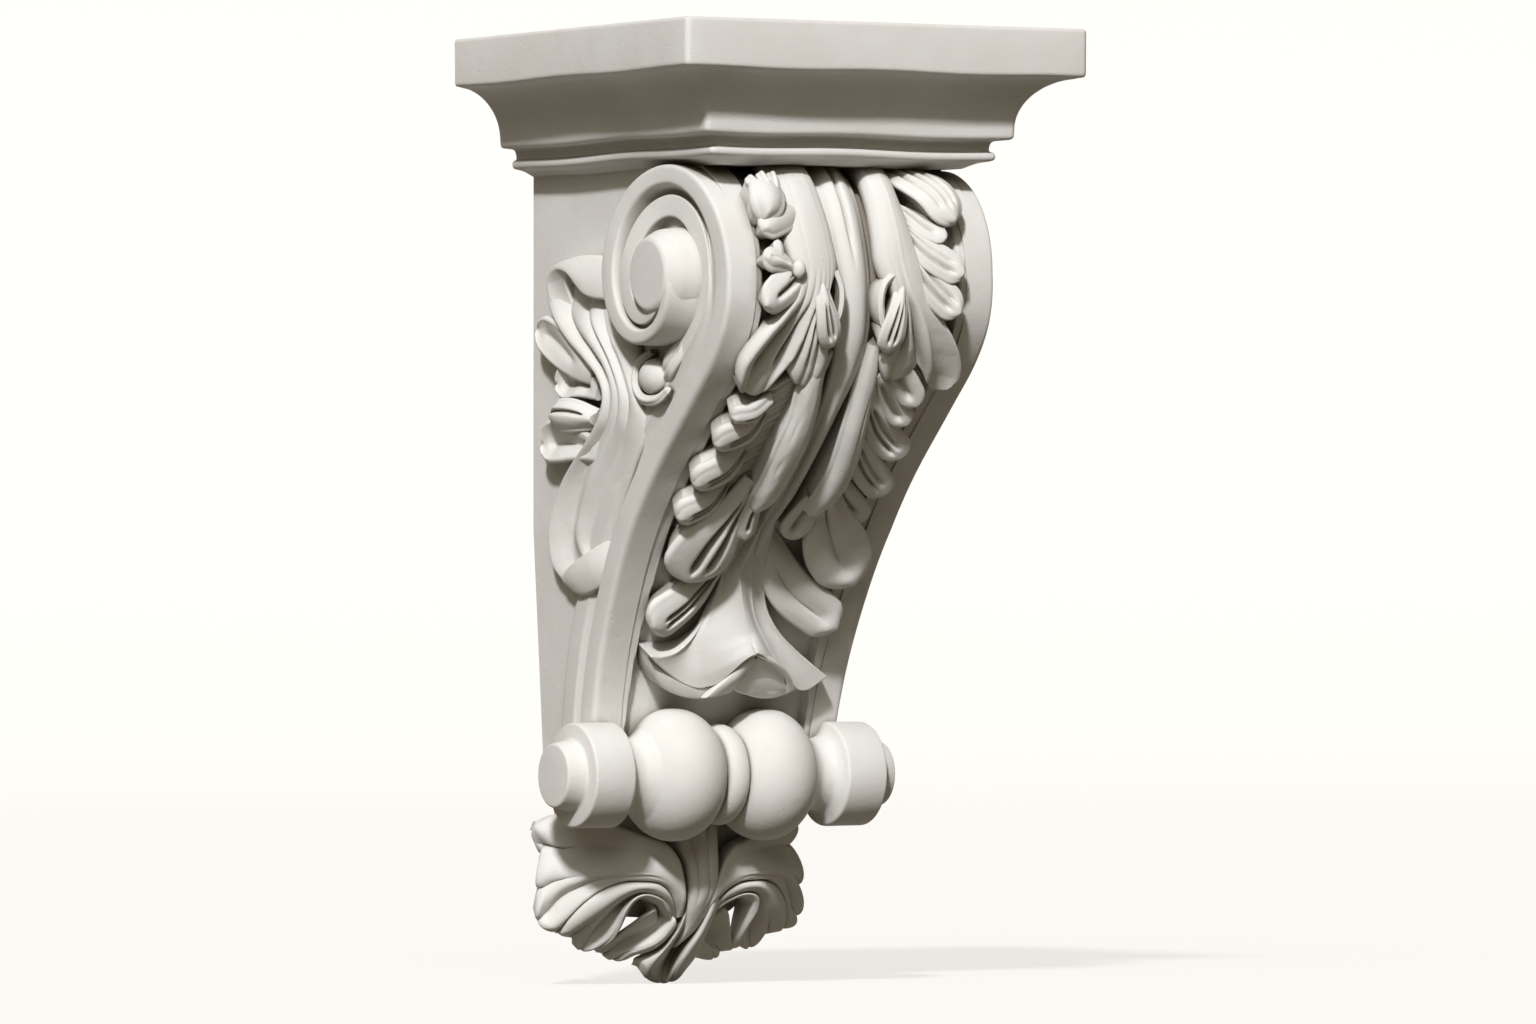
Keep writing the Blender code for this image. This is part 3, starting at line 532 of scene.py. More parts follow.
def fluted(place, lines, bulges, tips, roll=1.2, foot=-6.0, rows=120, strip=13, tuck=3.5, shell=None):
    """Strips side by side: top = a smooth curve across the lines + bulge (1 - t squared) in each strip.

    lines are paths (a, b, h). Each strip has bulges down the way, and its tip bows out by so many mm.
    Below its rim the side draws in by tuck. The sheet ends at its foot or, where shell lists
    thicknesses down the way, that far below its top. Rows crowd towards the tip, where the form turns.
    """
    v = 1 - (1 - np.linspace(0, 1, rows)) ** ROW_CROWDING
    fine = np.linspace(0, 1, FLUTE_SAMPLES)
    paths = [read_off(v, fine, smooth_curve(line, FLUTE_SAMPLES)) for line in lines]
    ends = [2 * paths[0] - paths[1]] + paths + [2 * paths[-1] - paths[-2]]
    t = np.cos(np.linspace(np.pi, 0, strip + 1))
    tops = []
    for k, (bulge, tip) in enumerate(zip(bulges, tips)):
        across = t if k == len(tips) - 1 else t[:-1]
        top = cubic(*[line[:, None] for line in ends[k:k + 4]], 0.5 * (1 + across)[None, :, None])
        top[..., 2] += down_the_way(v, bulge) * (1 - across ** 2)
        way = unit(np.gradient(paths[k][:, :2] + paths[k + 1][:, :2], axis=0))
        bow = tip * np.sqrt(1 - across ** 2) * soft_step(v, 0.7, 1)[:, None]
        top[..., :2] += way[:, None] * bow[..., None]
        tops.append(top)
    top = np.concatenate(tops, axis=1)
    steps = np.linalg.norm(np.diff(top[..., :2], axis=1), axis=-1)
    run = np.concatenate([0 * steps[:, :1], np.cumsum(steps, axis=1)], axis=1)
    from_side = np.minimum(run, run[:, -1:] - run)
    along = np.linalg.norm(np.diff(top[..., :2], axis=0), axis=-1)
    from_end = np.concatenate([np.cumsum(along[::-1], axis=0)[::-1], 0 * along[:1]])
    for near in (from_side, from_end):
        top[..., 2] -= quarter_round(near, roll)
    thin = RIM if shell is None else min(RIM, 0.5 * shell[-1])
    rim = top[:, [0, -1]] - [0, 0, thin]
    cover = np.concatenate([rim[:, :1], top, rim[:, 1:]], axis=1)
    under = cover[:, [-1, 0]] if shell is None else cover[:, ::-1]
    deep = WITHOUT_SHELL if shell is None else down_the_way(v, shell)
    inward = 0.5 * (top[:, :1] + top[:, -1:]) - under
    reach = np.linalg.norm(inward[..., :2], axis=-1, keepdims=True)
    low = under + inward * np.minimum(tuck / np.maximum(reach, 1e-6), 0.6)
    low[..., 2] = np.maximum(under[..., 2] - deep, foot)
    rings = np.concatenate([cover, low], axis=1)
    if shell is None:
        ahead = rings[-1, :, :2] - rings[-8, :, :2]
        ahead /= np.linalg.norm(ahead, axis=1, keepdims=True) + 1e-9
        end_rim, end_low = rings[-1].copy(), rings[-1].copy()
        end_rim[:, 2] = np.maximum(end_rim[:, 2] - thin, foot)
        end_low[:, :2] -= 0.15 * tuck * ahead
        end_low[:, 2] = foot
        rings = np.concatenate([rings, end_rim[None], end_low[None]])
    return tube(place(*np.moveaxis(rings, -1, 0)), zipped=shell is not None)


def ball(place, centre, radii):
    """A squashed ball in a chart: radius by sine and cosine of latitude and longitude."""
    latitude = np.linspace(-np.pi / 2 + 0.05, np.pi / 2 - 0.05, BEAD_SAMPLES)[:, None]
    longitude = np.linspace(0, 2 * np.pi, 2 * BEAD_SAMPLES, endpoint=False)[None, :]
    a = centre[0] + radii[0] * np.cos(latitude) * np.cos(longitude)
    b = centre[1] + radii[1] * np.cos(latitude) * np.sin(longitude)
    h = centre[2] + radii[2] * np.sin(latitude) + 0 * longitude
    return tube(place(a, b, h))


print("a bead has", len(ball(on_wall, (0, 0, 0), (1, 1, 1))[0]), "points")

# %% [markdown]
# The upper leaf has a broad smooth blade on each side of the midrib, small lobes up its outer edge,
# and a fan of long lobes at its foot. Each side was cut freehand, so the two differ a little. A Mirror
# modifier would make them twins; two tables keep them apart. Paths are (across, down the curve, height).

# %% Upper leaf
FAN_RIGHT = dict(
    lines=[[(8.5, 4, 2), (8, 16, 3), (6.3, 29, 3.6), (5, 43, 4), (5, 54, 4), (9, 63, 4), (13, 70, 5),
            (14, 77, 5), (12.5, 83, 5.5), (11, 88, 6), (12, 91.5, 6)],
           [(11, 4, 3.5), (10.5, 16, 5), (9.3, 29, 6), (8.5, 43, 6.5), (9.5, 54, 6.5), (12.5, 63, 6),
            (16, 70, 4.8), (18, 77, 3.6), (18.5, 83, 3.4), (18, 89, 4.5), (17.5, 95, 6)],
           [(13.5, 4, 4), (13, 16, 5.8), (12, 29, 7), (11.5, 43, 7.2), (12.5, 54, 7), (15.5, 63, 6.2),
            (19, 70, 4.2), (22, 77, 2.6), (25, 83, 2.2), (27.5, 88, 2.4), (29, 91.5, 3)],
           [(16, 4, 4), (15, 16, 5.8), (14, 29, 7), (14, 43, 7.2), (15, 54, 7), (18, 63, 7), (22.5, 70, 7),
            (26.5, 77, 7.2), (30, 84, 7.4), (33, 91, 7.2), (35, 97.5, 6)],
           [(21, 4, 2), (20.5, 16, 3.4), (19.5, 30, 4), (20.5, 43, 4.5), (22.5, 54, 5), (26, 64, 5),
            (32, 71.5, 6), (38.5, 78.5, 7), (44, 86, 7.5), (46.5, 94, 7.5), (43.5, 99.5, 7)]],
    bulges=[[0.3] * 5 + [0.8, 1.2, 1.6, 1.8, 1.6, 1], [0] * 5 + [0.4, 1.8, 2.8, 3.2, 2.6, 1.2],
            [0] * 5 + [0.3, 0.6, 0.8, 0.8, 0.8, 0.6], [0.3] * 5 + [0.2, -0.8, -2.2, -2.8, -2.4, -0.4]],
    tips=[1.5, 2.5, 2, 2.5], roll=1.8)
FAN_LEFT = dict(
    lines=[[(29, 4, 2), (31.5, 18, 3.2), (34, 32, 3.8), (34.5, 45, 4.2), (33, 56, 4.8), (31.5, 64, 5),
            (36, 71, 6), (43, 79, 7), (47.5, 88, 7.5), (47.5, 95, 7.5), (45, 100, 7)],
           [(24, 4, 3.5), (26, 18, 5), (27.5, 32, 6), (27.5, 45, 6.5), (26.5, 56, 6.8), (27.5, 66, 5.5),
            (31, 74, 1.5), (35.5, 82, -0.5), (39, 90, 0), (41, 96, 4), (41.5, 102, 6.5)],
           [(21.5, 4, 4), (23, 18, 5.5), (24.5, 32, 6.5), (24.5, 45, 7), (23.5, 56, 7.2), (24.5, 66, 6),
            (27, 74, 2), (29, 82, 0), (31, 90, 0.5), (32.5, 96, 4.2), (34, 102.5, 6.5)],
           [(19.5, 4, 4), (20.5, 18, 5.5), (21.5, 32, 6.5), (21.5, 45, 7), (21, 56, 7.2), (22, 66, 6.5),
            (23.5, 74, 5), (24.3, 80, 4), (25, 86, 3.6), (26, 90, 3.6), (27, 93, 3.8)],
           [(18, 4, 4), (18.5, 18, 5.5), (19.5, 32, 6.3), (19.5, 45, 6.8), (19, 56, 7), (20, 66, 6.5),
            (21.5, 74, 5.6), (21.5, 80, 5.6), (21, 87, 5.6), (20.5, 92, 6.3), (20.5, 98, 6.5)],
           [(16.5, 4, 3.5), (17, 18, 5), (18, 32, 5.8), (17.5, 45, 6.3), (17, 56, 6.5), (18, 66, 6),
            (19, 74, 5.6), (18.5, 80, 5.4), (17.5, 87, 5.4), (17, 92, 6.1), (16.5, 98, 6.3)],
           [(12.5, 4, 2), (13.2, 18, 3), (13.8, 32, 3.6), (13.3, 45, 4), (12.8, 56, 4.2), (17, 64, 4),
            (17, 70, 5), (14.5, 78, 5.5), (12.5, 87, 6), (12.3, 92, 6), (13, 95.5, 6)]],
    bulges=[[0.3] * 5 + [1.2, 2.4, 3, 3, 2.2, 0.8], [0] * 5 + [0.6, 2.2, 3.8, 3.8, 1.8, 0.5],
            [0] * 5 + [0.6, 2, 3.6, 3.8, 1.8, 0.5], [0] * 5 + [0.4, 1.2, 1.8, 2.2, 1.8, 1],
            [0] * 5 + [0.3, 0.8, 1.2, 1.2, 0.8, 0.5], [0.3] * 5 + [0.8, 1.4, 1.6, 1.6, 1.4, 1]],
    tips=[1.5, 1.2, 2.5, 2, 1, 1.5], roll=1.8)
UPPER_RIGHT = [
    dict(path=[(23, 8, 0, 15), (28, 20, 5, 18), (33, 31, 9.5, 17.5), (36.5, 41.5, 9.5, 14)],
         grooves=[(-0.45, 0.13, 2, 0, 0.88), (0, 0.13, 2.2, 0, 0.9), (0.45, 0.13, 2, 0, 0.88)],
         crown=(2.5, 2.5)),
    dict(path=[(17, 30, 1, 6), (26, 40, 5, 9), (33.5, 46, 8, 7)], grooves=[(0.1, 0.25, 1.6, 0.1, 0.85)]),
    dict(path=[(16, 38, 1, 7), (26, 50, 5.5, 12), (38.5, 58, 9.5, 10.5)],
         grooves=[(0.35, 0.18, 2, 0.05, 0.92), (-0.3, 0.16, 1.4, 0.05, 0.88)], crown=(2, 1.2)),
    dict(path=[(16, 46, 1.5, 6), (26, 60, 5.5, 12.5), (37.5, 70, 9.5, 11)],
         grooves=[(0.35, 0.18, 2.2, 0.05, 0.92), (-0.3, 0.18, 2, 0.05, 0.92)], crown=(2, 1.2)),
    dict(path=[(14.5, 59, 3.5, 4), (12, 69, 8, 8), (10.5, 77, 9, 11), (10.5, 83.5, 8, 9)],
         grooves=[(0.3, 0.16, 2.8, 0.3, 0.88), (-0.3, 0.16, 2.8, 0.3, 0.88)], crown=(2, 0.8)),
    dict(path=[(13, 58.5, 4.5, 2.4), (9.5, 58.6, 6.2, 2.8), (6, 61.5, 6.5, 3), (4.8, 66.5, 6.5, 3),
               (5.8, 72, 7, 2.8), (8.5, 77, 7.5, 2.2)],
         crown=(0.6, 0.6)),
]
UPPER_LEFT = [
    dict(path=[(37, 25, 6.5, 12.5), (39, 30, 10, 14.5), (41.5, 35.5, 10.8, 14), (44, 41, 9, 10)],
         crown=(1.8, 2.8), roll=2.2),
    dict(path=[(41.5, 36, 8.5, 3.5), (43, 30, 9.5, 4.6), (44.5, 24, 8, 4.8)], crown=(1.5, 1.5)),
    dict(path=[(39.5, 36, 9.5, 3.5), (39.5, 30, 10.5, 4.2), (39.5, 23, 9, 4.4)], crown=(1.5, 1.5)),
    dict(path=[(37.5, 35, 9, 3.5), (35.8, 29, 10, 5), (34, 22.5, 8.5, 5.2)], crown=(1.5, 1.5)),
    dict(path=[(22, 33, 1, 9), (33, 38, 6, 12), (45, 44.5, 8.5, 9.5)], crown=(2, 2), roll=1.6),
    dict(path=[(37, 56, 5, 4.5), (38.5, 51.5, 7.5, 4.2), (39.5, 47.5, 8, 4)], crown=(1.2, 1.2)),
    dict(path=[(32, 57, 6, 4.5), (39, 54.5, 8, 7.5), (46, 53.5, 8.5, 9.5)],
         grooves=[(-0.2, 0.3, 0.8, 0.2, 0.9)], crown=(1.8, 1.8), roll=1.6),
    dict(path=[(20, 50, 2, 6), (33, 60.5, 6, 13), (46, 68.5, 9, 10.5)],
         grooves=[(0.15, 0.2, 3.4, 0.1, 0.85), (-0.25, 0.12, 1.2, 0.1, 0.6)], crown=(1.8, 1.2), roll=1.6),
    dict(path=[(21, 59, 4, 5), (19.8, 68, 8.5, 7.5), (17, 75.5, 9.5, 9.5), (13.5, 81.5, 8.5, 7)],
         grooves=[(0.35, 0.16, 2.4, 0.3, 0.88), (-0.2, 0.16, 2.4, 0.3, 0.88)], crown=(2, 0.8)),
    dict(path=[(14, 57, 5.5, 2.4), (11.8, 63, 6, 2.6), (12, 70, 6.5, 2.6), (14, 75, 7, 2.2)],
         crown=(0.6, 0.6)),
]
BEAD_PLACE, BEAD_RADII = (-31.5, 57, 8.0), (2.6, 2.8, 2.6)


def leaf(lobes, flutes=()):
    """A leaf's parts on the front chart, from rows of values for lobe and for fluted."""
    return [lobe(on_front, **row) for row in lobes] + [fluted(on_front, **row) for row in flutes]


make_piece("upper_leaf_right", leaf(UPPER_RIGHT, [FAN_RIGHT]))
upper_left = [mirror(part) for part in leaf(UPPER_LEFT, [FAN_LEFT])]
make_piece("upper_leaf_left", upper_left + [ball(on_front, BEAD_PLACE, BEAD_RADII)])

# %% [markdown]
# The lower leaf hangs from under the upper one. Its blades rise high beside the midrib and end in a
# small curl, and its lobes are deep spoons whose slots were drilled before they were cut open. A Boolean
# could drill them, but a deep narrow groove in a lobe keeps the mesh clean. A ribbed web joins the lobes.

# %% Lower leaf
HOLLOW = (0.2, 0.3, 2.4, 0.1, 0.9)
SPOONED = dict(grooves=[(0.35, 0.16, 2.6, 0.1, 0.92), (-0.2, 0.2, 2.4, 0.1, 0.9)], crown=(2, 0.3))
SLOTTED = dict(grooves=[(0.05, 0.12, 6, -0.3, 0.82), (0.52, 0.12, 6, -0.3, 0.84)], crown=(1.2, 1.8),
               roll=2.2, blunt=0.75)
LOWER_RIGHT = [
    dict(path=[(9.5, 84, -1, 9), (10.5, 101, 4, 10.5), (11.5, 119, 9, 11), (13.5, 137, 11.5, 12),
               (13.2, 153, 11.5, 12), (10, 165, 8.5, 7)],
         grooves=[(-0.35, 0.14, 0.8, 0.2, 0.9)], crown=(3, 3), square=2.6, foot=-7, undercut=0, rows=60),
    dict(path=[(12, 84, 1, 6), (24, 97, 5, 11), (33, 106, 9.5, 10)], grooves=[HOLLOW]),
    dict(path=[(13, 95, 3, 6), (24, 108, 6, 11), (33, 116.5, 9.5, 10)], grooves=[HOLLOW]),
    dict(path=[(12, 105, 5, 6), (25, 122, 7, 13), (38.5, 133.5, 10, 13)], **SPOONED),
    dict(path=[(12, 122, 6, 6), (26, 140, 8, 13), (40, 154.5, 9.5, 13)], **SPOONED),
    dict(path=[(12, 142, 5, 6), (25, 158, 6, 11.5), (38, 170.5, 6.5, 10.5)], grooves=[HOLLOW]),
    dict(path=[(12, 146, 6, 8), (20, 166, 7.5, 17), (29, 182, 9.5, 26), (41.5, 199, 9.5, 22)],
         grooves=[(0.05, 0.55, 2.6, 0.2, 0.93), (0.1, 0.07, 1.2, 0.1, 0.85)], crown=(2.5, 2.2), roll=2,
         foot=-7),
    dict(path=[(11, 157, 9, 9), (8.5, 168, 9.5, 13), (7, 177.5, 9.5, 13)],
         grooves=[(0, 0.42, 4, 0.1, 0.9)], crown=(1, 0.3)),
    dict(path=[(2, 182, -5, 10), (16, 202, 5, 18), (30, 212, 8.8, 19), (39.5, 218.5, 9.5, 15)],
         grooves=[(0.05, 0.55, 2.2, 0.25, 0.93), (0.15, 0.07, 0.9, 0.2, 0.85)], crown=(2, 2), roll=2),
]
LOWER_LEFT = [
    dict(path=[(13.5, 84, 0, 9), (14.5, 98, 5, 11), (13.5, 111, 9, 12), (13.5, 125, 11.5, 13.5),
               (13, 142, 12, 13), (13, 154, 11, 12), (14.5, 163, 8, 6)],
         crown=(3.5, 3.5), square=2.8, foot=-7, undercut=0, rows=80, crinkle=0.1,
         grooves=[(-0.6, 0.12, 1.2, 0.3, 0.5), (-0.6, 0.12, 1.4, 0.55, 0.72)]),
    dict(path=[(27, 108, 5, 7), (35, 111, 10, 9.5), (43.5, 113.5, 9.5, 9)],
         grooves=[(0.3, 0.18, 4.6, -0.3, 0.75)], crown=(1.5, 1.5), roll=2, blunt=0.7),
    dict(path=[(24, 114, 1, 9), (33, 121.5, 8.6, 14.5), (45, 127.5, 10, 13.5)], **SLOTTED),
    dict(path=[(24, 133.5, 1, 9), (33, 142, 8.6, 15), (45, 149.5, 10, 14.5)], **SLOTTED),
    dict(path=[(24, 152, 1, 9), (33, 160.5, 8.2, 13.5), (45, 167.5, 9.5, 14)], **SLOTTED),
    dict(path=[(17, 150, 6, 8), (21, 165, 8, 15), (27, 181, 9.5, 27), (31, 198.5, 8.5, 27)],
         grooves=[(-0.05, 0.11, 7, 0.15, 0.93), (0.5, 0.1, 6.4, 0.15, 0.9), (0.25, 0.06, 1, 0, 0.5)],
         crown=(1.5, 1.8), roll=2, blunt=0.8),
    dict(path=[(14, 157, 8.5, 6), (14, 166, 9, 8.5), (13, 177.5, 9.5, 9.5)],
         grooves=[(0, 0.2, 3, 0.2, 0.8)], crown=(1.5, 1.5)),
    dict(path=[(14, 196, 1.5, 8), (26, 208.5, 5.5, 16), (40.5, 218.5, 8.5, 19)],
         grooves=[(0.08, 0.12, 6, 0, 0.84), (0.52, 0.12, 6, 0, 0.86), (-0.2, 0.1, 1, 0, 0.5)],
         crown=(1.2, 1.8), roll=2, blunt=0.75),
]
WEB_STRIPS = 30
web_starts = np.linspace(90, 176, WEB_STRIPS + 1) + 0.8 * np.sin(2.1 * np.arange(WEB_STRIPS + 1))
WEB = dict(
    lines=[[(9, s - 4, 3), (21, s + 6, 2.6), (28, s + 12.5, 2.4), (36, s + 19, 1.5)] for s in web_starts],
    bulges=[[0.1, 0.5 + 0.3 * np.sin(1.7 * k), 0.8, 0.5] for k in range(WEB_STRIPS)],
    tips=[0.5] * WEB_STRIPS, strip=6, rows=60)
make_piece("lower_leaf_right", leaf(LOWER_RIGHT))
make_piece("lower_leaf_left", [mirror(part) for part in leaf(LOWER_LEFT, [WEB])])

# %% [markdown]
# Under the leaf a stem flares like a tulip into a draped skirt with a point at each side. The middle
# of its hem is turned over, so a three cornered fold stands proud of it. Cloth simulation could drape it,
# but this drapery was carved: a carver draws the two edges of a fold first and then works the surface
# between them, and the sheet below is made the same way.

# %% Tulip
SHEET_COLUMNS = 29


def sheet(place, left, right, crown, roll=1.0, foot=-5.0, undercut=0.3, rows=40, scallop=0.0):
    """Sheet between two edge paths (a, b, h): top = the edges' blend + crown (1 - u squared), edges rounded.

    crown lists its heights down the sheet, and scallop lengthens its end in two waves.
    """
    v = np.linspace(0, 1, rows)[:, None]
    u = np.linspace(-1, 1, SHEET_COLUMNS)[None, :]
    first, second = smooth_curve(left, rows)[:, None], smooth_curve(right, rows)[:, None]
    share = 0.5 * (1 + u)[..., None]
    top = first * (1 - share) + second * share
    middle = 0.5 * (first + second)
    length = np.linalg.norm(np.diff(middle[:, 0, :2], axis=0), axis=1).sum()
    half_width = 0.5 * np.linalg.norm((second - first)[..., :2], axis=-1)
    edge = np.minimum(roll, 0.5 * half_width)
    rise = down_the_way(v[:, 0], crown) * (1 - u ** 2)
    rise = rise - quarter_round(half_width * (1 - np.abs(u)), edge) - quarter_round(length * (1 - v), roll)
    top[..., 2] += rise
    top[..., 1] += scallop * np.abs(np.sin(np.pi * (u + 1))) * soft_step(v, 0.6, 1)
    shrink = 1 - undercut
    ends = np.concatenate([first, second], axis=1)
    low = middle + (ends - middle) * shrink
    low[..., 2] = foot
    side = middle + (ends - middle) * (0.5 + 0.5 * shrink)
    side[..., 2] = 0.5 * (ends[..., 2] + foot)
    rings = np.concatenate([low[:, :1], side[:, :1], top, side[:, 1:], low[:, 1:]], axis=1)
    return tube(place(*np.moveaxis(rings, -1, 0)))


SKIRT = dict(
    lines=[[(-8, 160, 0.5), (-10, 180, 1), (-11.5, 195, 1.5), (-12.5, 205, 2.5), (-15, 214, 4),
            (-19, 222.5, 6), (-26, 228.5, 8), (-33, 230, 9.5), (-39, 229.5, 10.5)],
           [(-5.5, 160, 1.5), (-7.5, 180, 2), (-9.5, 195, 2.2), (-11, 205, 3), (-13.5, 214, 4.5),
            (-16.8, 222.5, 6.5), (-16.5, 230, 8.5), (-15, 237, 10), (-12.5, 243, 10.5)],
           [(-3, 160, 4), (-5, 180, 4.5), (-7, 194, 5), (-5, 202, 6), (-2.5, 210, 8), (0, 218, 11.5),
            (0.5, 221, 14), (1, 224, 16.5), (1.5, 226, 17.8)],
           [(0, 160, 2), (-0.5, 180, 2), (0, 194, 2), (1.5, 202, 2.5), (3.5, 210.5, 4), (6.5, 218, 6.5),
            (11.5, 226, 10), (19, 235.5, 11.5), (27, 244, 10.5)],
           [(4, 160, 1), (4.5, 180, 1.2), (6, 195, 1.5), (8, 205, 2.5), (11, 213.5, 4), (17, 221.5, 6),
            (24.5, 228, 7.5), (32, 233.5, 8.5), (40, 239, 9)]],
    bulges=[[0.3, 0.3, -0.3, -0.8, -1, -1.5, -1.8, -1.5, -1],
            [-1.2, -1.5, -1.5, -1.2, -0.5, 0.8, 1.5, 1.5, 1],
            [-0.8, -0.8, -1, -1, -0.8, -0.5, 0, 0.3, 0.3],
            [0.3, 0.2, -0.3, -0.8, -1.2, -1.8, -2, -1.5, -0.5]],
    tips=[2, 0, -2.4, 1], foot=-7, strip=17, roll=0.8, tuck=8)
TULIP = [
    dict(left=[(-38, 230, 4), (-28, 233.5, 5), (-19, 234.5, 5.5), (-10, 236, 7), (0, 231, 10.5),
               (12, 232, 12), (21, 239, 10), (29, 242.5, 8)],
         right=[(-35, 238.5, 6), (-30, 244, 7), (-22.5, 247.5, 7.5), (-15, 248.8, 8), (-7.5, 248, 8.5),
                (0.5, 245, 9), (9.5, 248, 8.5), (17, 248.8, 8), (24, 247, 7.5), (29.5, 244, 7)],
         crown=[2, 2, 2, 2], rows=70, foot=-7, undercut=0),
    dict(left=[(0.8, 222.5, 14.5), (-6.5, 236.2, 14.6), (-13.5, 247.5, 11.5)],
         right=[(3.5, 230, 15.5), (0, 238.5, 13), (-1, 245.5, 9.5)], crown=[0.6, 1.8, 1.2], roll=0.7,
         undercut=0),
    dict(left=[(3, 229, 15), (1, 238, 12), (0.5, 245, 9)],
         right=[(3.5, 227.5, 16.6), (12.5, 231.5, 14.8), (19.5, 238, 12.4), (22.5, 245.5, 9.8)],
         crown=[0, 0.3, 0.6], roll=0.7, undercut=0, scallop=1.5),
    dict(left=[(0, 222.5, 15.8), (12.5, 229.6, 15.4), (21, 236.5, 12.6), (26, 244, 10.5)],
         right=[(2, 226.5, 17), (12, 232, 15.2), (19.8, 239, 12.6), (22.8, 245.8, 10)],
         crown=[0.4, 0.5, 0.5, 0.3], roll=0.5, undercut=0),
]
make_piece("tulip", [fluted(on_front, **SKIRT)] + [sheet(on_front, **row) for row in TULIP])

# %% [markdown]
# The cheek behind the scroll carries a side leaf: a ribbon that comes from under the scroll, folds
# over near the wall and becomes a fluted stem, with cupped lobes along it and a curl at its foot. It uses
# the same three helpers on the cheek's chart, so nothing new has to be learnt. Paths are (distance from
# the wall, height, height above the panel).

# %% Side leaf
SIDE_STEM = dict(
    lines=[[(22, 88, 7), (24, 80, 7.5), (30, 72, 8), (41, 63.5, 8), (54, 56, 8), (63, 49.5, 7.5),
            (66.5, 42, 7), (62, 33.5, 7), (52, 25, 7), (41, 18, 6.5), (31, 10, 6), (24, 0, 6),
            (21, -11, 6), (24, -20.5, 6), (33, -27, 5.5), (44, -30.5, 5)],
           [(38, 88, 3), (37, 80, 3.5), (39, 73, 5), (47, 66.5, 6), (58.5, 59.5, 6.5), (68, 51.5, 6),
            (71.5, 43, 6), (68.5, 34, 6), (60, 26, 5), (50, 18.5, 4), (42, 10, 3), (36, 0, 2.5),
            (33, -10, 2.5), (35, -17.5, 3), (41, -23, 3.5), (48, -27, 3.5)],
           [(52, 82, 3), (51, 76, 4), (54, 71, 5.5), (61, 65.5, 6.5), (68, 60, 7), (74.5, 52.5, 7),
            (78, 44, 6.5), (76, 35, 6), (69, 27, 6), (60, 19, 5.5), (51, 10, 5.5), (44.5, 0, 5),
            (41.5, -9, 5), (44, -16, 4.5), (50, -20.5, 4), (56, -23, 3)],
           [(62, 80, 2.5), (62, 74, 4), (65, 69, 5), (70, 63.5, 6), (76.5, 57, 6.2), (82, 49, 6.2),
            (84.5, 41, 6), (82, 32, 5.5), (76, 24, 4.5), (68, 16, 4), (60, 7, 3.5), (53, -3, 3),
            (49, -11, 3), (50, -16, 3), (54, -19, 2.5), (59, -21, 2)],
           [(76, 78, 1), (80, 70, 2), (85, 61, 3), (88, 54, 4), (90, 47, 4), (92, 40, 4), (93, 33, 3.5),
            (90, 25, 3), (84, 17, 3), (77, 8, 2.5), (70, -1, 2), (64, -9, 1.5), (60, -14, 1), (60, -17, 1),
            (61, -19, 1), (63, -21, 1)]],
    bulges=[[1.5, 1.5, 1.8, 2.2, 2.4, 2.2, 2, 1.8, 1.5, 1, 0.6, 0.4, 0.4, 0.5, 1, 0.5],
            [1, 1, 1.4, 2, 2.4, 2.4, 2, 1.5, 0.5, 0, -0.5, -0.8, -0.8, -0.5, 0, 0],
            [1, 1.2, 1.8, 2.2, 2.4, 2.4, 2.2, 1.8, 1, 0.8, 0.6, 0.5, 0.5, 0.5, 0.5, 0.3],
            [0.5, 0.8, 1.2, 1.8, 2, 2, 1.6, 1.2, 0.8, 0.5, 0.4, 0.3, 0.3, 0.3, 0.3, 0.3]],
    tips=[0] * 4, foot=-3, rows=170, roll=1)
SIDE_SHEETS = [
    dict(left=[(76, 92.5, 2), (66, 94.7, 5), (54, 95.6, 7.5), (45, 94.8, 8.8), (35, 93, 9.3),
               (28.5, 90, 9.2), (25.6, 85.5, 8.8), (26.5, 80, 8.3), (30, 73, 6.8)],
         right=[(76, 78.5, 3), (67, 78.3, 7), (57, 80, 9.5), (51, 84.5, 10.5), (46.5, 88.3, 10.5),
                (41, 90, 9.5), (38, 87.5, 8), (37.2, 83, 6), (38, 76.5, 3.2)],
         crown=[0.5, 1.5, 1.8, 1.4, 0.8, 0.3, -0.6, -0.6, 0], rows=90, roll=1, undercut=0.3),
    dict(left=[(31, -24, 6), (38, -20.5, 6.5), (46, -17, 6), (55, -13, 4), (63, -9, 0.5)],
         right=[(33.5, -28.5, 5), (41, -31.3, 5), (49, -31, 4.5), (59, -27.5, 2.5), (67, -23, -1)],
         crown=[0.5, 1.8, 2.2, 1], roll=0.8, undercut=0.1),
]
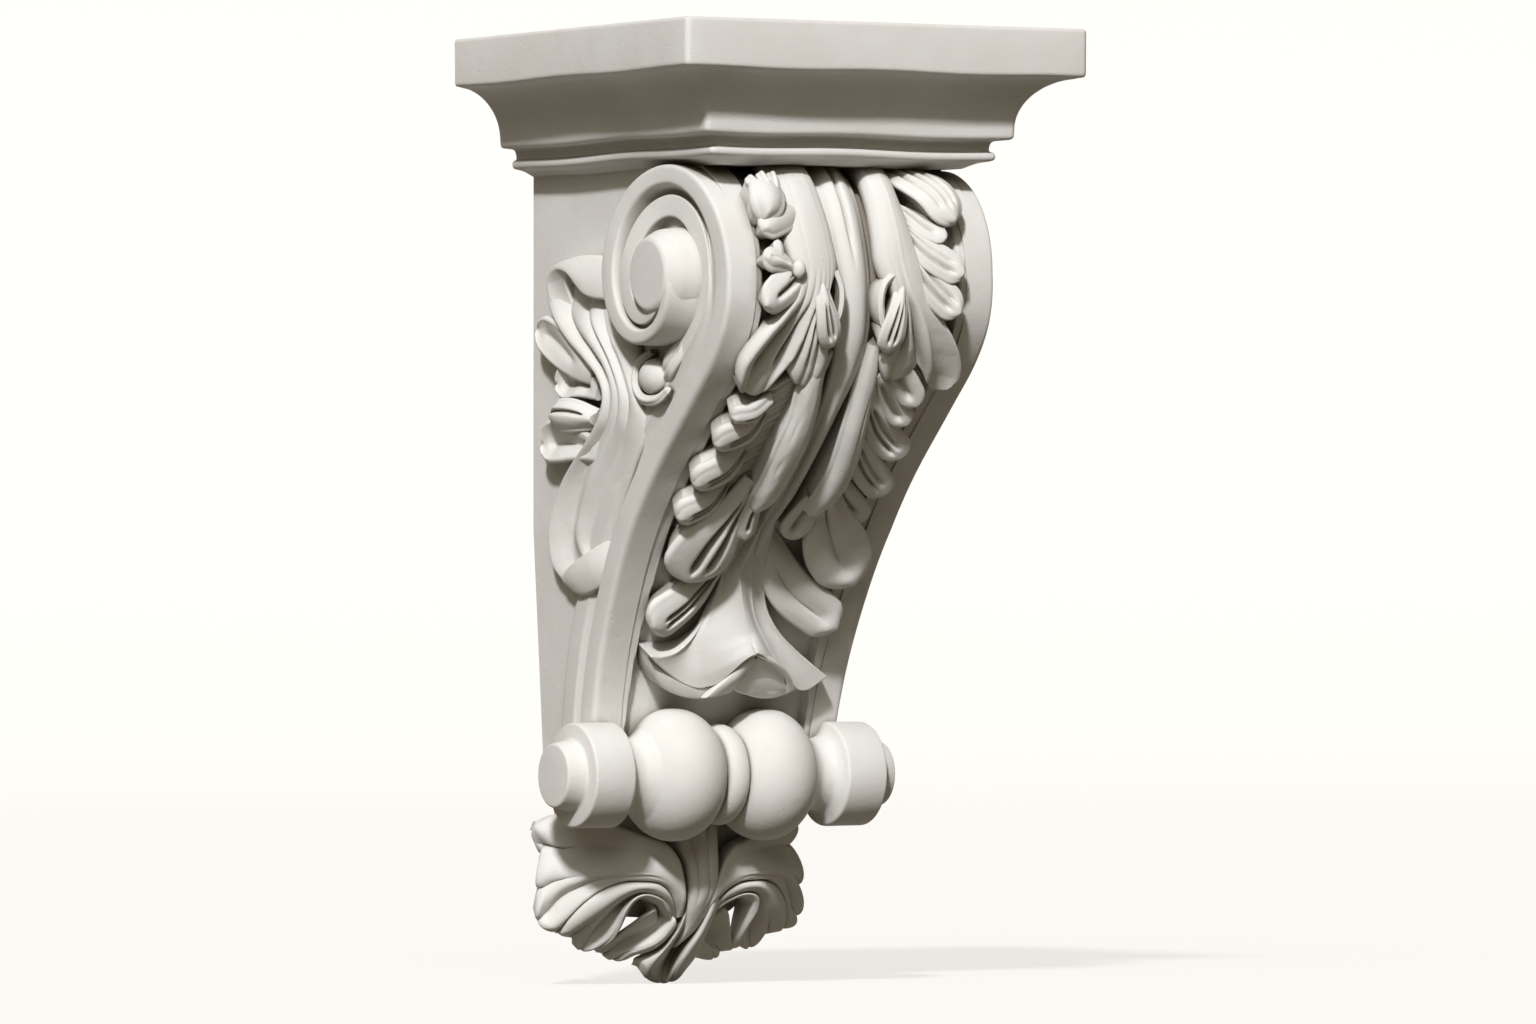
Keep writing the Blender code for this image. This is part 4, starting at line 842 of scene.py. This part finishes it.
SIDE_LOBES = [
    dict(path=[(56, 51, 6, 9), (44, 56, 7.5, 13.5), (30, 63, 8, 16.5), (14.5, 69, 7.5, 13)], rows=50,
         crown=(0.5, -1.6), roll=1.6, grooves=[(0, 0.35, 1.2, 0.2, 0.92)]),
    dict(path=[(58, 45, 5, 8), (46, 48.5, 7, 13), (38, 49, 7, 15), (28.5, 48, 7, 14)], crown=(0, -1.8),
         roll=1.4, grooves=[(0.1, 0.5, 3, 0.1, 0.92)]),
    dict(path=[(58, 34, 5, 8), (47, 35.5, 8.5, 12.5), (38, 36, 9.5, 13), (30, 36, 8, 11)],
         crown=(3.2, 3.2), grooves=[(-0.3, 0.13, 2.8, 0.1, 1.3)]),
    dict(path=[(60, 22, 5, 9), (46, 25, 7, 13), (33, 26.5, 8.5, 17), (18.5, 25.5, 8, 15.5)], crown=(0, -2),
         roll=1.7, grooves=[(0.1, 0.5, 2.6, 0.1, 0.92)]),
    dict(path=[(96, 58.5, 3, 3), (89, 54, 5.5, 4), (88.5, 46.5, 6.5, 4.2), (95, 41, 7, 4.2),
               (105, 40.5, 6.5, 4), (112, 44.5, 5, 3)],
         rows=60, crown=(0.6, 0.6)),
    dict(path=[(105, 47, 2, 7), (112, 53, 5.5, 9), (120, 62, 3, 9)], crown=(1.5, 1),
         grooves=[(0.1, 0.4, 2.2, 0.1, 1)]),
]
BOSS_PLACE, BOSS_RADII = (100, 49, 3), (8.5, 7, 6)
cheek = [sheet(on_right_cheek, **row) for row in SIDE_SHEETS] + [fluted(on_right_cheek, **SIDE_STEM)]
cheek += [lobe(on_right_cheek, **row) for row in SIDE_LOBES]
cheek.append(ball(on_right_cheek, BOSS_PLACE, BOSS_RADII))
make_piece("side_leaf_right", cheek)
make_piece("side_leaf_left", [mirror(part) for part in cheek])

# %% [markdown]
# Below the bolster hangs a turned-over leaf. Its flutes climb from the stem, arch over and fall to the
# fingers. On the real one the leaf stands free, with two holes through to the dark behind, so here it is
# made of thin shells in front of a plain block at the wall. A Solidify modifier gives one thickness; these
# shells get thinner towards their tips. Each part starts at its own small distance from the wall, so that
# no two backs lie in one plane. Paths are (across, height, distance from the wall).

# %% Pendant
TOP_EDGE = [
    (3.5, -152.5, 31), (5, -145.5, 36), (7, -138, 38.5), (10.5, -130, 40), (17, -123.5, 39),
    (29.5, -119, 34), (41, -115.5, 26), (49.5, -114, 16), (54.5, -116.5, 11)]
FIRST_NOTCH = [
    (4, -152.5, 30.5), (5.5, -146, 36), (8.5, -139, 38.5), (14.5, -132, 39), (23, -128, 37),
    (33.5, -126, 32), (42.5, -125.5, 25), (48.5, -126.5, 18), (52, -125, 12.5)]
SECOND_NOTCH = [
    (4.5, -152.5, 30), (6.5, -147, 35.5), (10, -141, 38), (15.5, -137, 39), (24, -135.5, 38.5),
    (34.5, -135, 35.5), (43, -136, 30), (48.5, -137.5, 23.5), (52.5, -139, 18), (56, -141.5, 14.5)]
SCOOP = [
    (5, -153, 29.5), (7, -147.5, 34.5), (10.5, -142.5, 37), (16, -139, 38), (23.5, -137, 37.5),
    (33.5, -137.5, 34), (41, -138.5, 28.5), (45.5, -141.5, 22.5), (49.5, -145, 17.5), (53, -150, 14),
    (56, -153, 13.5)]
CREASE = [
    (5, -153, 28.5), (8.5, -148, 33), (12.5, -143, 35.5), (17, -140, 36.5), (22.5, -139, 36),
    (30, -139, 34), (37, -141.5, 31), (43, -146.5, 26.5), (47, -152.5, 20.5), (48.5, -157.5, 14.5)]
FINGER = [
    (5.5, -153, 27.5), (9.5, -148.5, 32), (13.5, -145, 35), (20, -142.5, 36), (26.5, -142.5, 35),
    (31.5, -145.5, 31.5), (36, -150.5, 26.5), (39.5, -155, 20), (42, -158, 14)]
SPOON = [
    (6, -153, 26.5), (9.5, -149.5, 30.5), (13.5, -146, 33), (20, -143.5, 34), (24.5, -144, 32),
    (28, -147, 26), (31, -152, 20.5), (33.5, -157.5, 15), (36.5, -164.5, 11)]
RING = [
    (7.5, -153.5, 27), (11, -150, 31), (15, -146, 34), (22, -144, 35), (27, -145.5, 34), (29, -150.5, 30),
    (28.5, -156, 24.5), (29, -161, 18.5), (31.5, -164.5, 13)]
HOLE = [
    (8, -152.5, 26), (12, -149.5, 30), (16, -147, 33), (21.5, -145, 34), (25.5, -147, 32.5),
    (26, -151, 28), (26, -157, 22), (26.5, -161.5, 17), (28.5, -165.5, 11.5)]
TOP_FLUTES = dict(
    lines=[TOP_EDGE, FIRST_NOTCH, SECOND_NOTCH, SCOOP, CREASE], tips=[4, 3.5, 2, 2],
    bulges=[[0, 0, 1, 1.8], [0, 0, 1, 1.8], [0, 0, 0.8, 1.6], [0, 0.3, 1.4, 1.8]], foot=1.5, roll=2,
    shell=[30, 22, 12, 4], rows=90, strip=11)
FINGER_FLUTES = dict(
    lines=[CREASE, FINGER, SPOON, RING, HOLE], tips=[2, 2, 1, 0.3],
    bulges=[[0, 0.6, 1.8, 2], [0, 0, 0.3, 0.6], [0, 0, 0.3, 0.5], [0, 0.2, 0.4, 0.4]], foot=1.8, roll=1.4,
    shell=[24, 18, 10, 4], rows=90, strip=11)
INNER_SPOON = dict(
    lines=[[(14, -146, 22), (15, -149, 29.5), (18, -151.5, 28), (20.5, -154.5, 24.5), (23.5, -158, 20),
            (26.5, -162, 15.5), (29, -165.5, 11.5)],
           [(12, -146.5, 20), (9.5, -153.5, 22), (12.5, -158, 17), (17, -160.5, 13), (21, -163.5, 10.5),
            (24.5, -166, 8.5)],
           [(9, -147, 22), (6.5, -153, 27.5), (8, -158.5, 24.5), (11, -162.5, 20.5), (15.5, -165, 16),
            (19, -166.5, 12.5), (21, -168.5, 9)],
           [(5, -148, 22), (3.5, -155.5, 25.5), (4, -160.5, 20.5), (6.5, -164.5, 16), (9.5, -166.5, 13),
            (13.5, -167.5, 11), (16.5, -169, 8.5)]],
    bulges=[[0, 0.3, 0.3], [0, 0, 0.3], [0, 1, 1.4]], tips=[1, 2, 1.5], foot=2.1, roll=1.4,
    shell=[12, 9, 6, 4], rows=80, strip=11)
TIP_LEAF = dict(
    lines=[[(-3, -149.5, 30), (-3, -154.5, 27), (-4, -159, 23.5), (-5.5, -163.5, 18), (-9, -166.5, 14),
            (-12, -168.5, 11), (-11.5, -171, 9)],
           [(-2.5, -148, 32.5), (-3, -154.5, 29.5), (-3.5, -159, 26), (-5.5, -165, 20.5), (-7, -169.5, 16),
            (-7.5, -173, 12), (-6.5, -176, 8)],
           [(6, -146, 27), (5.5, -155.5, 20), (4, -163, 12.5), (3, -168.5, 8), (1, -173.5, 7.5),
            (0.5, -178, 6.5)],
           [(7, -144, 35.5), (6, -150, 33.5), (4.5, -158, 28.5), (2.5, -164, 24), (1.5, -169.5, 19),
            (2, -174, 13.5), (3.5, -177.5, 8)],
           [(11, -147, 33), (10.5, -152, 30.5), (10, -159, 25), (10.5, -165, 19), (10.5, -169.5, 14),
            (9, -173, 10.5), (7.5, -175.5, 8)]],
    bulges=[[0, 0.6, 1], [0, 0.3, 0.3], [0, 0.3, 0.3], [0, 1, 1.4]], tips=[1.2, 0.6, 0.4, 0.8], foot=1.2,
    roll=1.6, shell=[30, 24, 12, 5])
STEM = dict(
    lines=[[(-10, -104, 34), (-10, -124.5, 35), (-6.5, -133, 37), (-4.5, -142.5, 36), (-3.5, -149, 33),
            (-2, -154.5, 28), (-1, -159.5, 22)],
           [(-4, -104, 36), (-4, -123.5, 37), (-2.5, -133, 39), (-1, -142.5, 38), (-1, -149.5, 34.5),
            (-0.5, -156, 28.5), (-1, -161.5, 22)],
           [(2.5, -104, 37.5), (2, -120, 38.5), (2, -133, 40), (3.5, -142.5, 38), (2.5, -149.5, 34.5),
            (2, -157, 28), (-0.5, -163.5, 20.5)],
           [(9, -104, 35), (8, -119.5, 36), (7.5, -133, 38), (8, -141.5, 36), (7, -149.5, 32.5),
            (5, -157.5, 26), (0, -164.5, 19)]],
    bulges=[[1.8, 1.4, 0, 0]] * 3, tips=[0, 0.5, 0], foot=0.9, roll=1.4)
BACKING = dict(
    path=[(-43, -112, 10, 32), (-20, -110, 22, 46), (20, -110, 22, 46), (43, -112, 10, 32)], foot=0.3,
    undercut=0)
LOW_BACKING = dict(
    path=[(-38, -138, 8, 26), (-18, -136, 15, 34), (0, -134.5, 18, 38), (18, -136, 15, 34),
          (38, -138, 8, 26)],
    foot=0.6, undercut=0)
fingers = [fluted(on_wall, **flutes) for flutes in (TOP_FLUTES, FINGER_FLUTES, INNER_SPOON)]
middle = [fluted(on_wall, **flutes) for flutes in (STEM, TIP_LEAF)]
middle += [lobe(on_wall, **backing) for backing in (BACKING, LOW_BACKING)]
make_piece("pendant", fingers + [mirror(part) for part in fingers] + middle)

# %% [markdown]
# Cast gypsum is matt, warm white and faintly mottled. Its surface has small air pits from the mould, a
# fine grain and a soft unevenness. The hollows get a painted shade: a warm dark colour where shadow falls.
# An image could give all this, but patterns worked out from Object coordinates need no seams. Each
# pattern's scale is how many of its marks fit in a metre, from the size of one mark.

# %% Plaster
def linear(hex_colour):
    """An sRGB hex colour as linear light: v / 12.92 when dark, else ((v + 0.055) / 1.055) to the 2.4."""
    values = np.array([int(hex_colour[i:i + 2], 16) / 255 for i in (0, 2, 4)])
    return (*np.where(values <= 0.04045, values / 12.92, ((values + 0.055) / 1.055) ** 2.4), 1.0)


def wire(shader_node, **inputs):
    """Set a node's inputs, by name or as i and a number; a socket is linked and any other value is set."""
    for name, value in inputs.items():
        numbered = name[0] == "i" and name[1:].isdigit()
        socket = shader_node.inputs[int(name[1:]) if numbered else name.replace("_", " ")]
        if isinstance(value, bpy.types.NodeSocket):
            shader_node.id_data.links.new(value, socket)
        else:
            socket.default_value = value
    return shader_node


def node(kind, settings=(), **inputs):
    """Add a node to the plaster, set its properties, and wire its inputs."""
    made = plaster.node_tree.nodes.new(kind)
    for name, value in dict(settings).items():
        setattr(made, name, value)
    return wire(made, **inputs)


# Cast gypsum scatters light in its pores, so the eye sees an even matt tone with faint soft highlights.
PLASTER_ROUGHNESS, PLASTER_IOR, PLASTER_GLOSS = 0.82, 1.52, 0.35
# The third and fourth values are painted shade: a warm dark colour mixed into the base colour wherever the
# surface is enclosed within 9 mm, standing in for the shadow in creases and hollows.
PLASTER_DARK, PLASTER_LIGHT, HOLLOW_SHADE, HOLLOW_SHADE_REACH = "D2D0CC", "DBDAD7", "685C48", 9 * MM
# Mottling about 36 mm across, and swellings of 7 mm from the model's tool marks.
CLOUDS, SWELLINGS = 28.0, 1000.0 / 7
# Real grain is under 0.5 mm. It is drawn 1.6 mm wide, because finer grain doesn't show at this distance.
GRAINS = 1000.0 / 1.6
# Air pits stand about 4.2 mm apart, in patches about 9 mm wide.
PITS, PIT_PATCHES = 1000.0 / 4.2, 1000.0 / 9
SWELL_DEPTH, GRAIN_DEPTH, PIT_DEPTH = 0.0004, 0.00024, 0.0003

plaster = bpy.data.materials.new("cast_gypsum_plaster")
plaster.use_nodes = True
place = node("ShaderNodeTexCoord").outputs["Object"]
clouds = node("ShaderNodeTexNoise", Vector=place, Scale=CLOUDS, Detail=5.0, Roughness=0.6)
grain = node("ShaderNodeTexNoise", Vector=place, Scale=GRAINS, Detail=4.0, Roughness=0.6)
swell = node("ShaderNodeTexNoise", Vector=place, Scale=SWELLINGS, Detail=3.0, Roughness=0.5)
pits = node("ShaderNodeTexVoronoi", Vector=place, Scale=PITS, Randomness=1.0)
patches = node("ShaderNodeTexNoise", Vector=place, Scale=PIT_PATCHES, Detail=1.0)
smooth = {"interpolation_type": "SMOOTHSTEP"}
pit_shape = node("ShaderNodeMapRange", smooth, Value=pits.outputs["Distance"], From_Min=0.03, From_Max=0.13,
                 To_Min=1.0, To_Max=0.0)
pit_few = node("ShaderNodeMapRange", smooth, Value=patches.outputs["Fac"], From_Min=0.5, From_Max=0.62)
pit_height = node("ShaderNodeMath", {"operation": "MULTIPLY_ADD"}, i0=pit_shape.outputs["Result"],
                  i1=pit_few.outputs["Result"], i2=0.0)
mottle = node("ShaderNodeValToRGB", Fac=clouds.outputs["Fac"])
for stop, position, colour in zip(mottle.color_ramp.elements, (0.3, 0.7), (PLASTER_DARK, PLASTER_LIGHT)):
    stop.position = position
    stop.color = linear(colour)
# Painted shade: ambient occlusion darkens the base colour towards the warm dark colour in creases and
# hollows, where shade falls.
hollow = node("ShaderNodeAmbientOcclusion", {"samples": 8}, Distance=HOLLOW_SHADE_REACH)
unshaded = node("ShaderNodeMapRange", smooth, Value=hollow.outputs["AO"], From_Min=0.05, From_Max=0.75)
shaded_base = node("ShaderNodeMix", {"data_type": "RGBA", "blend_type": "MIX"}, i0=unshaded.outputs["Result"],
             i6=linear(HOLLOW_SHADE), i7=mottle.outputs["Color"])
soft = node("ShaderNodeBump", Strength=0.35, Distance=SWELL_DEPTH, Height=swell.outputs["Fac"])
fine = node("ShaderNodeBump", Strength=0.45, Distance=GRAIN_DEPTH, Height=grain.outputs["Fac"],
            Normal=soft.outputs["Normal"])
pitted = node("ShaderNodeBump", {"invert": True}, Strength=0.5, Distance=PIT_DEPTH,
              Height=pit_height.outputs["Value"], Normal=fine.outputs["Normal"])
wire(plaster.node_tree.nodes["Principled BSDF"], Base_Color=shaded_base.outputs[2], Normal=pitted.outputs["Normal"],
     Roughness=PLASTER_ROUGHNESS, IOR=PLASTER_IOR, Specular_IOR_Level=PLASTER_GLOSS)
for item in PIECES:
    item.data.materials.append(plaster)
    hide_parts("corbel")
print("plaster on", len(PIECES), "pieces")

# %% [markdown]
# The corbel stands on its pendant's tip in a pale studio cove: a floor that runs up behind it. The key
# light comes from the left in front and throws crisp shadows; a broad one beside it softens them. The
# room fills the shadows with a little warm light. Area lamps would do too, but a sun's light is equally
# strong on every part. The cove glows faintly and sends no light back to the corbel, so the background
# stays pale while the hollows stay deep.

# %% Studio
COVE_WIDTH, COVE_FRONT, COVE_BACK, COVE_HEIGHT, COVE_BEND, COVE_BEND_POINTS = 8.0, -6.0, 5.0, 5.0, 1.2, 24
COVE_PAINT, COVE_GLOW_COLOUR, COVE_GLOW = "7E7C79", "FFFDF9", 0.79
KEY_FROM, KEY_STRENGTH, KEY_SPREAD, KEY_COLOUR = (-39, 36), 3.5, 5.0, "FDFDFF"
FILL_FROM, FILL_STRENGTH, FILL_SPREAD, FILL_COLOUR = (-38, 33), 0.8, 40.0, "FAF7EA"
ROOM_COLOUR, ROOM_STRENGTH = "FBE1B4", 0.1


def studio_cove():
    """Floor, quarter circle and wall as one sheet, with its floor at the corbel's foot."""
    turn = np.linspace(0, np.pi / 2, COVE_BEND_POINTS)
    bend = np.stack([COVE_BACK - COVE_BEND + COVE_BEND * np.sin(turn),
                     COVE_BEND - COVE_BEND * np.cos(turn)], -1)
    profile = np.concatenate([[[COVE_FRONT, 0.0]], bend, [[COVE_BACK, COVE_HEIGHT]]])
    count = len(profile)
    x = np.repeat([-COVE_WIDTH, COVE_WIDTH], count)
    points = np.column_stack([x, np.tile(profile, (2, 1))]) + [0, 0, FOOT * MM]
    faces = [(i, i + 1, count + i + 1, count + i) for i in range(count - 1)]
    mesh = bpy.data.meshes.new("studio_cove")
    mesh.from_pydata(points.tolist(), [], faces)
    mesh.shade_smooth()
    cove = bpy.data.objects.new("studio_cove", mesh)
    bpy.context.scene.collection.objects.link(cove)
    paint = bpy.data.materials.new("studio_paint")
    paint.use_nodes = True
    wire(paint.node_tree.nodes["Principled BSDF"], Base_Color=linear(COVE_PAINT), Roughness=1.0,
         Specular_IOR_Level=0.0, Emission_Color=linear(COVE_GLOW_COLOUR), Emission_Strength=COVE_GLOW)
    mesh.materials.append(paint)
    cove.visible_diffuse = False


def sun(name, direction, strength, spread, colour):
    """A far light from (azimuth from the front, elevation): spread is its angle, which softens shadows."""
    azimuth, elevation = np.radians(direction)
    level = np.cos(elevation)
    away = Vector((np.sin(azimuth) * level, -np.cos(azimuth) * level, np.sin(elevation)))
    lamp = bpy.data.lights.new(name, "SUN")
    lamp.energy = strength
    lamp.angle = np.radians(spread)
    lamp.color = linear(colour)[:3]
    item = bpy.data.objects.new(name, lamp)
    item.location = away * 2
    item.rotation_euler = away.to_track_quat("Z", "Y").to_euler()
    bpy.context.scene.collection.objects.link(item)
    print(name, "from", direction, "strength", strength)


studio_cove()
sun("key", KEY_FROM, KEY_STRENGTH, KEY_SPREAD, KEY_COLOUR)
sun("fill", FILL_FROM, FILL_STRENGTH, FILL_SPREAD, FILL_COLOUR)
room = bpy.data.worlds.new("pale_room")
room.use_nodes = True
wire(room.node_tree.nodes["Background"], Color=linear(ROOM_COLOUR), Strength=ROOM_STRENGTH)
bpy.context.scene.world = room
bpy.context.scene.view_settings.view_transform = "Standard"

# %% [markdown]
# A long lens from the left, nearly level with the middle, keeps the verticals upright, as in a catalogue.
# A short lens from nearby would lean them together and swell the cap.

# %% Camera
LENS, SENSOR, FAR_CLIP = 257.8, 36.0, 50
CAMERA_PLACE, VIEW_TILT, VIEW_TURN = (-2.052, -3.642, -0.052), 90.72, -30.0
camera = bpy.data.objects.new("camera", bpy.data.cameras.new("camera"))
camera.data.lens = LENS
camera.data.sensor_width = SENSOR
camera.data.clip_end = FAR_CLIP
camera.location = CAMERA_PLACE
camera.rotation_euler = (np.radians(VIEW_TILT), 0, np.radians(VIEW_TURN))
bpy.context.scene.collection.objects.link(camera)
bpy.context.scene.camera = camera
print("camera at", CAMERA_PLACE, "with a lens of", LENS, "mm")
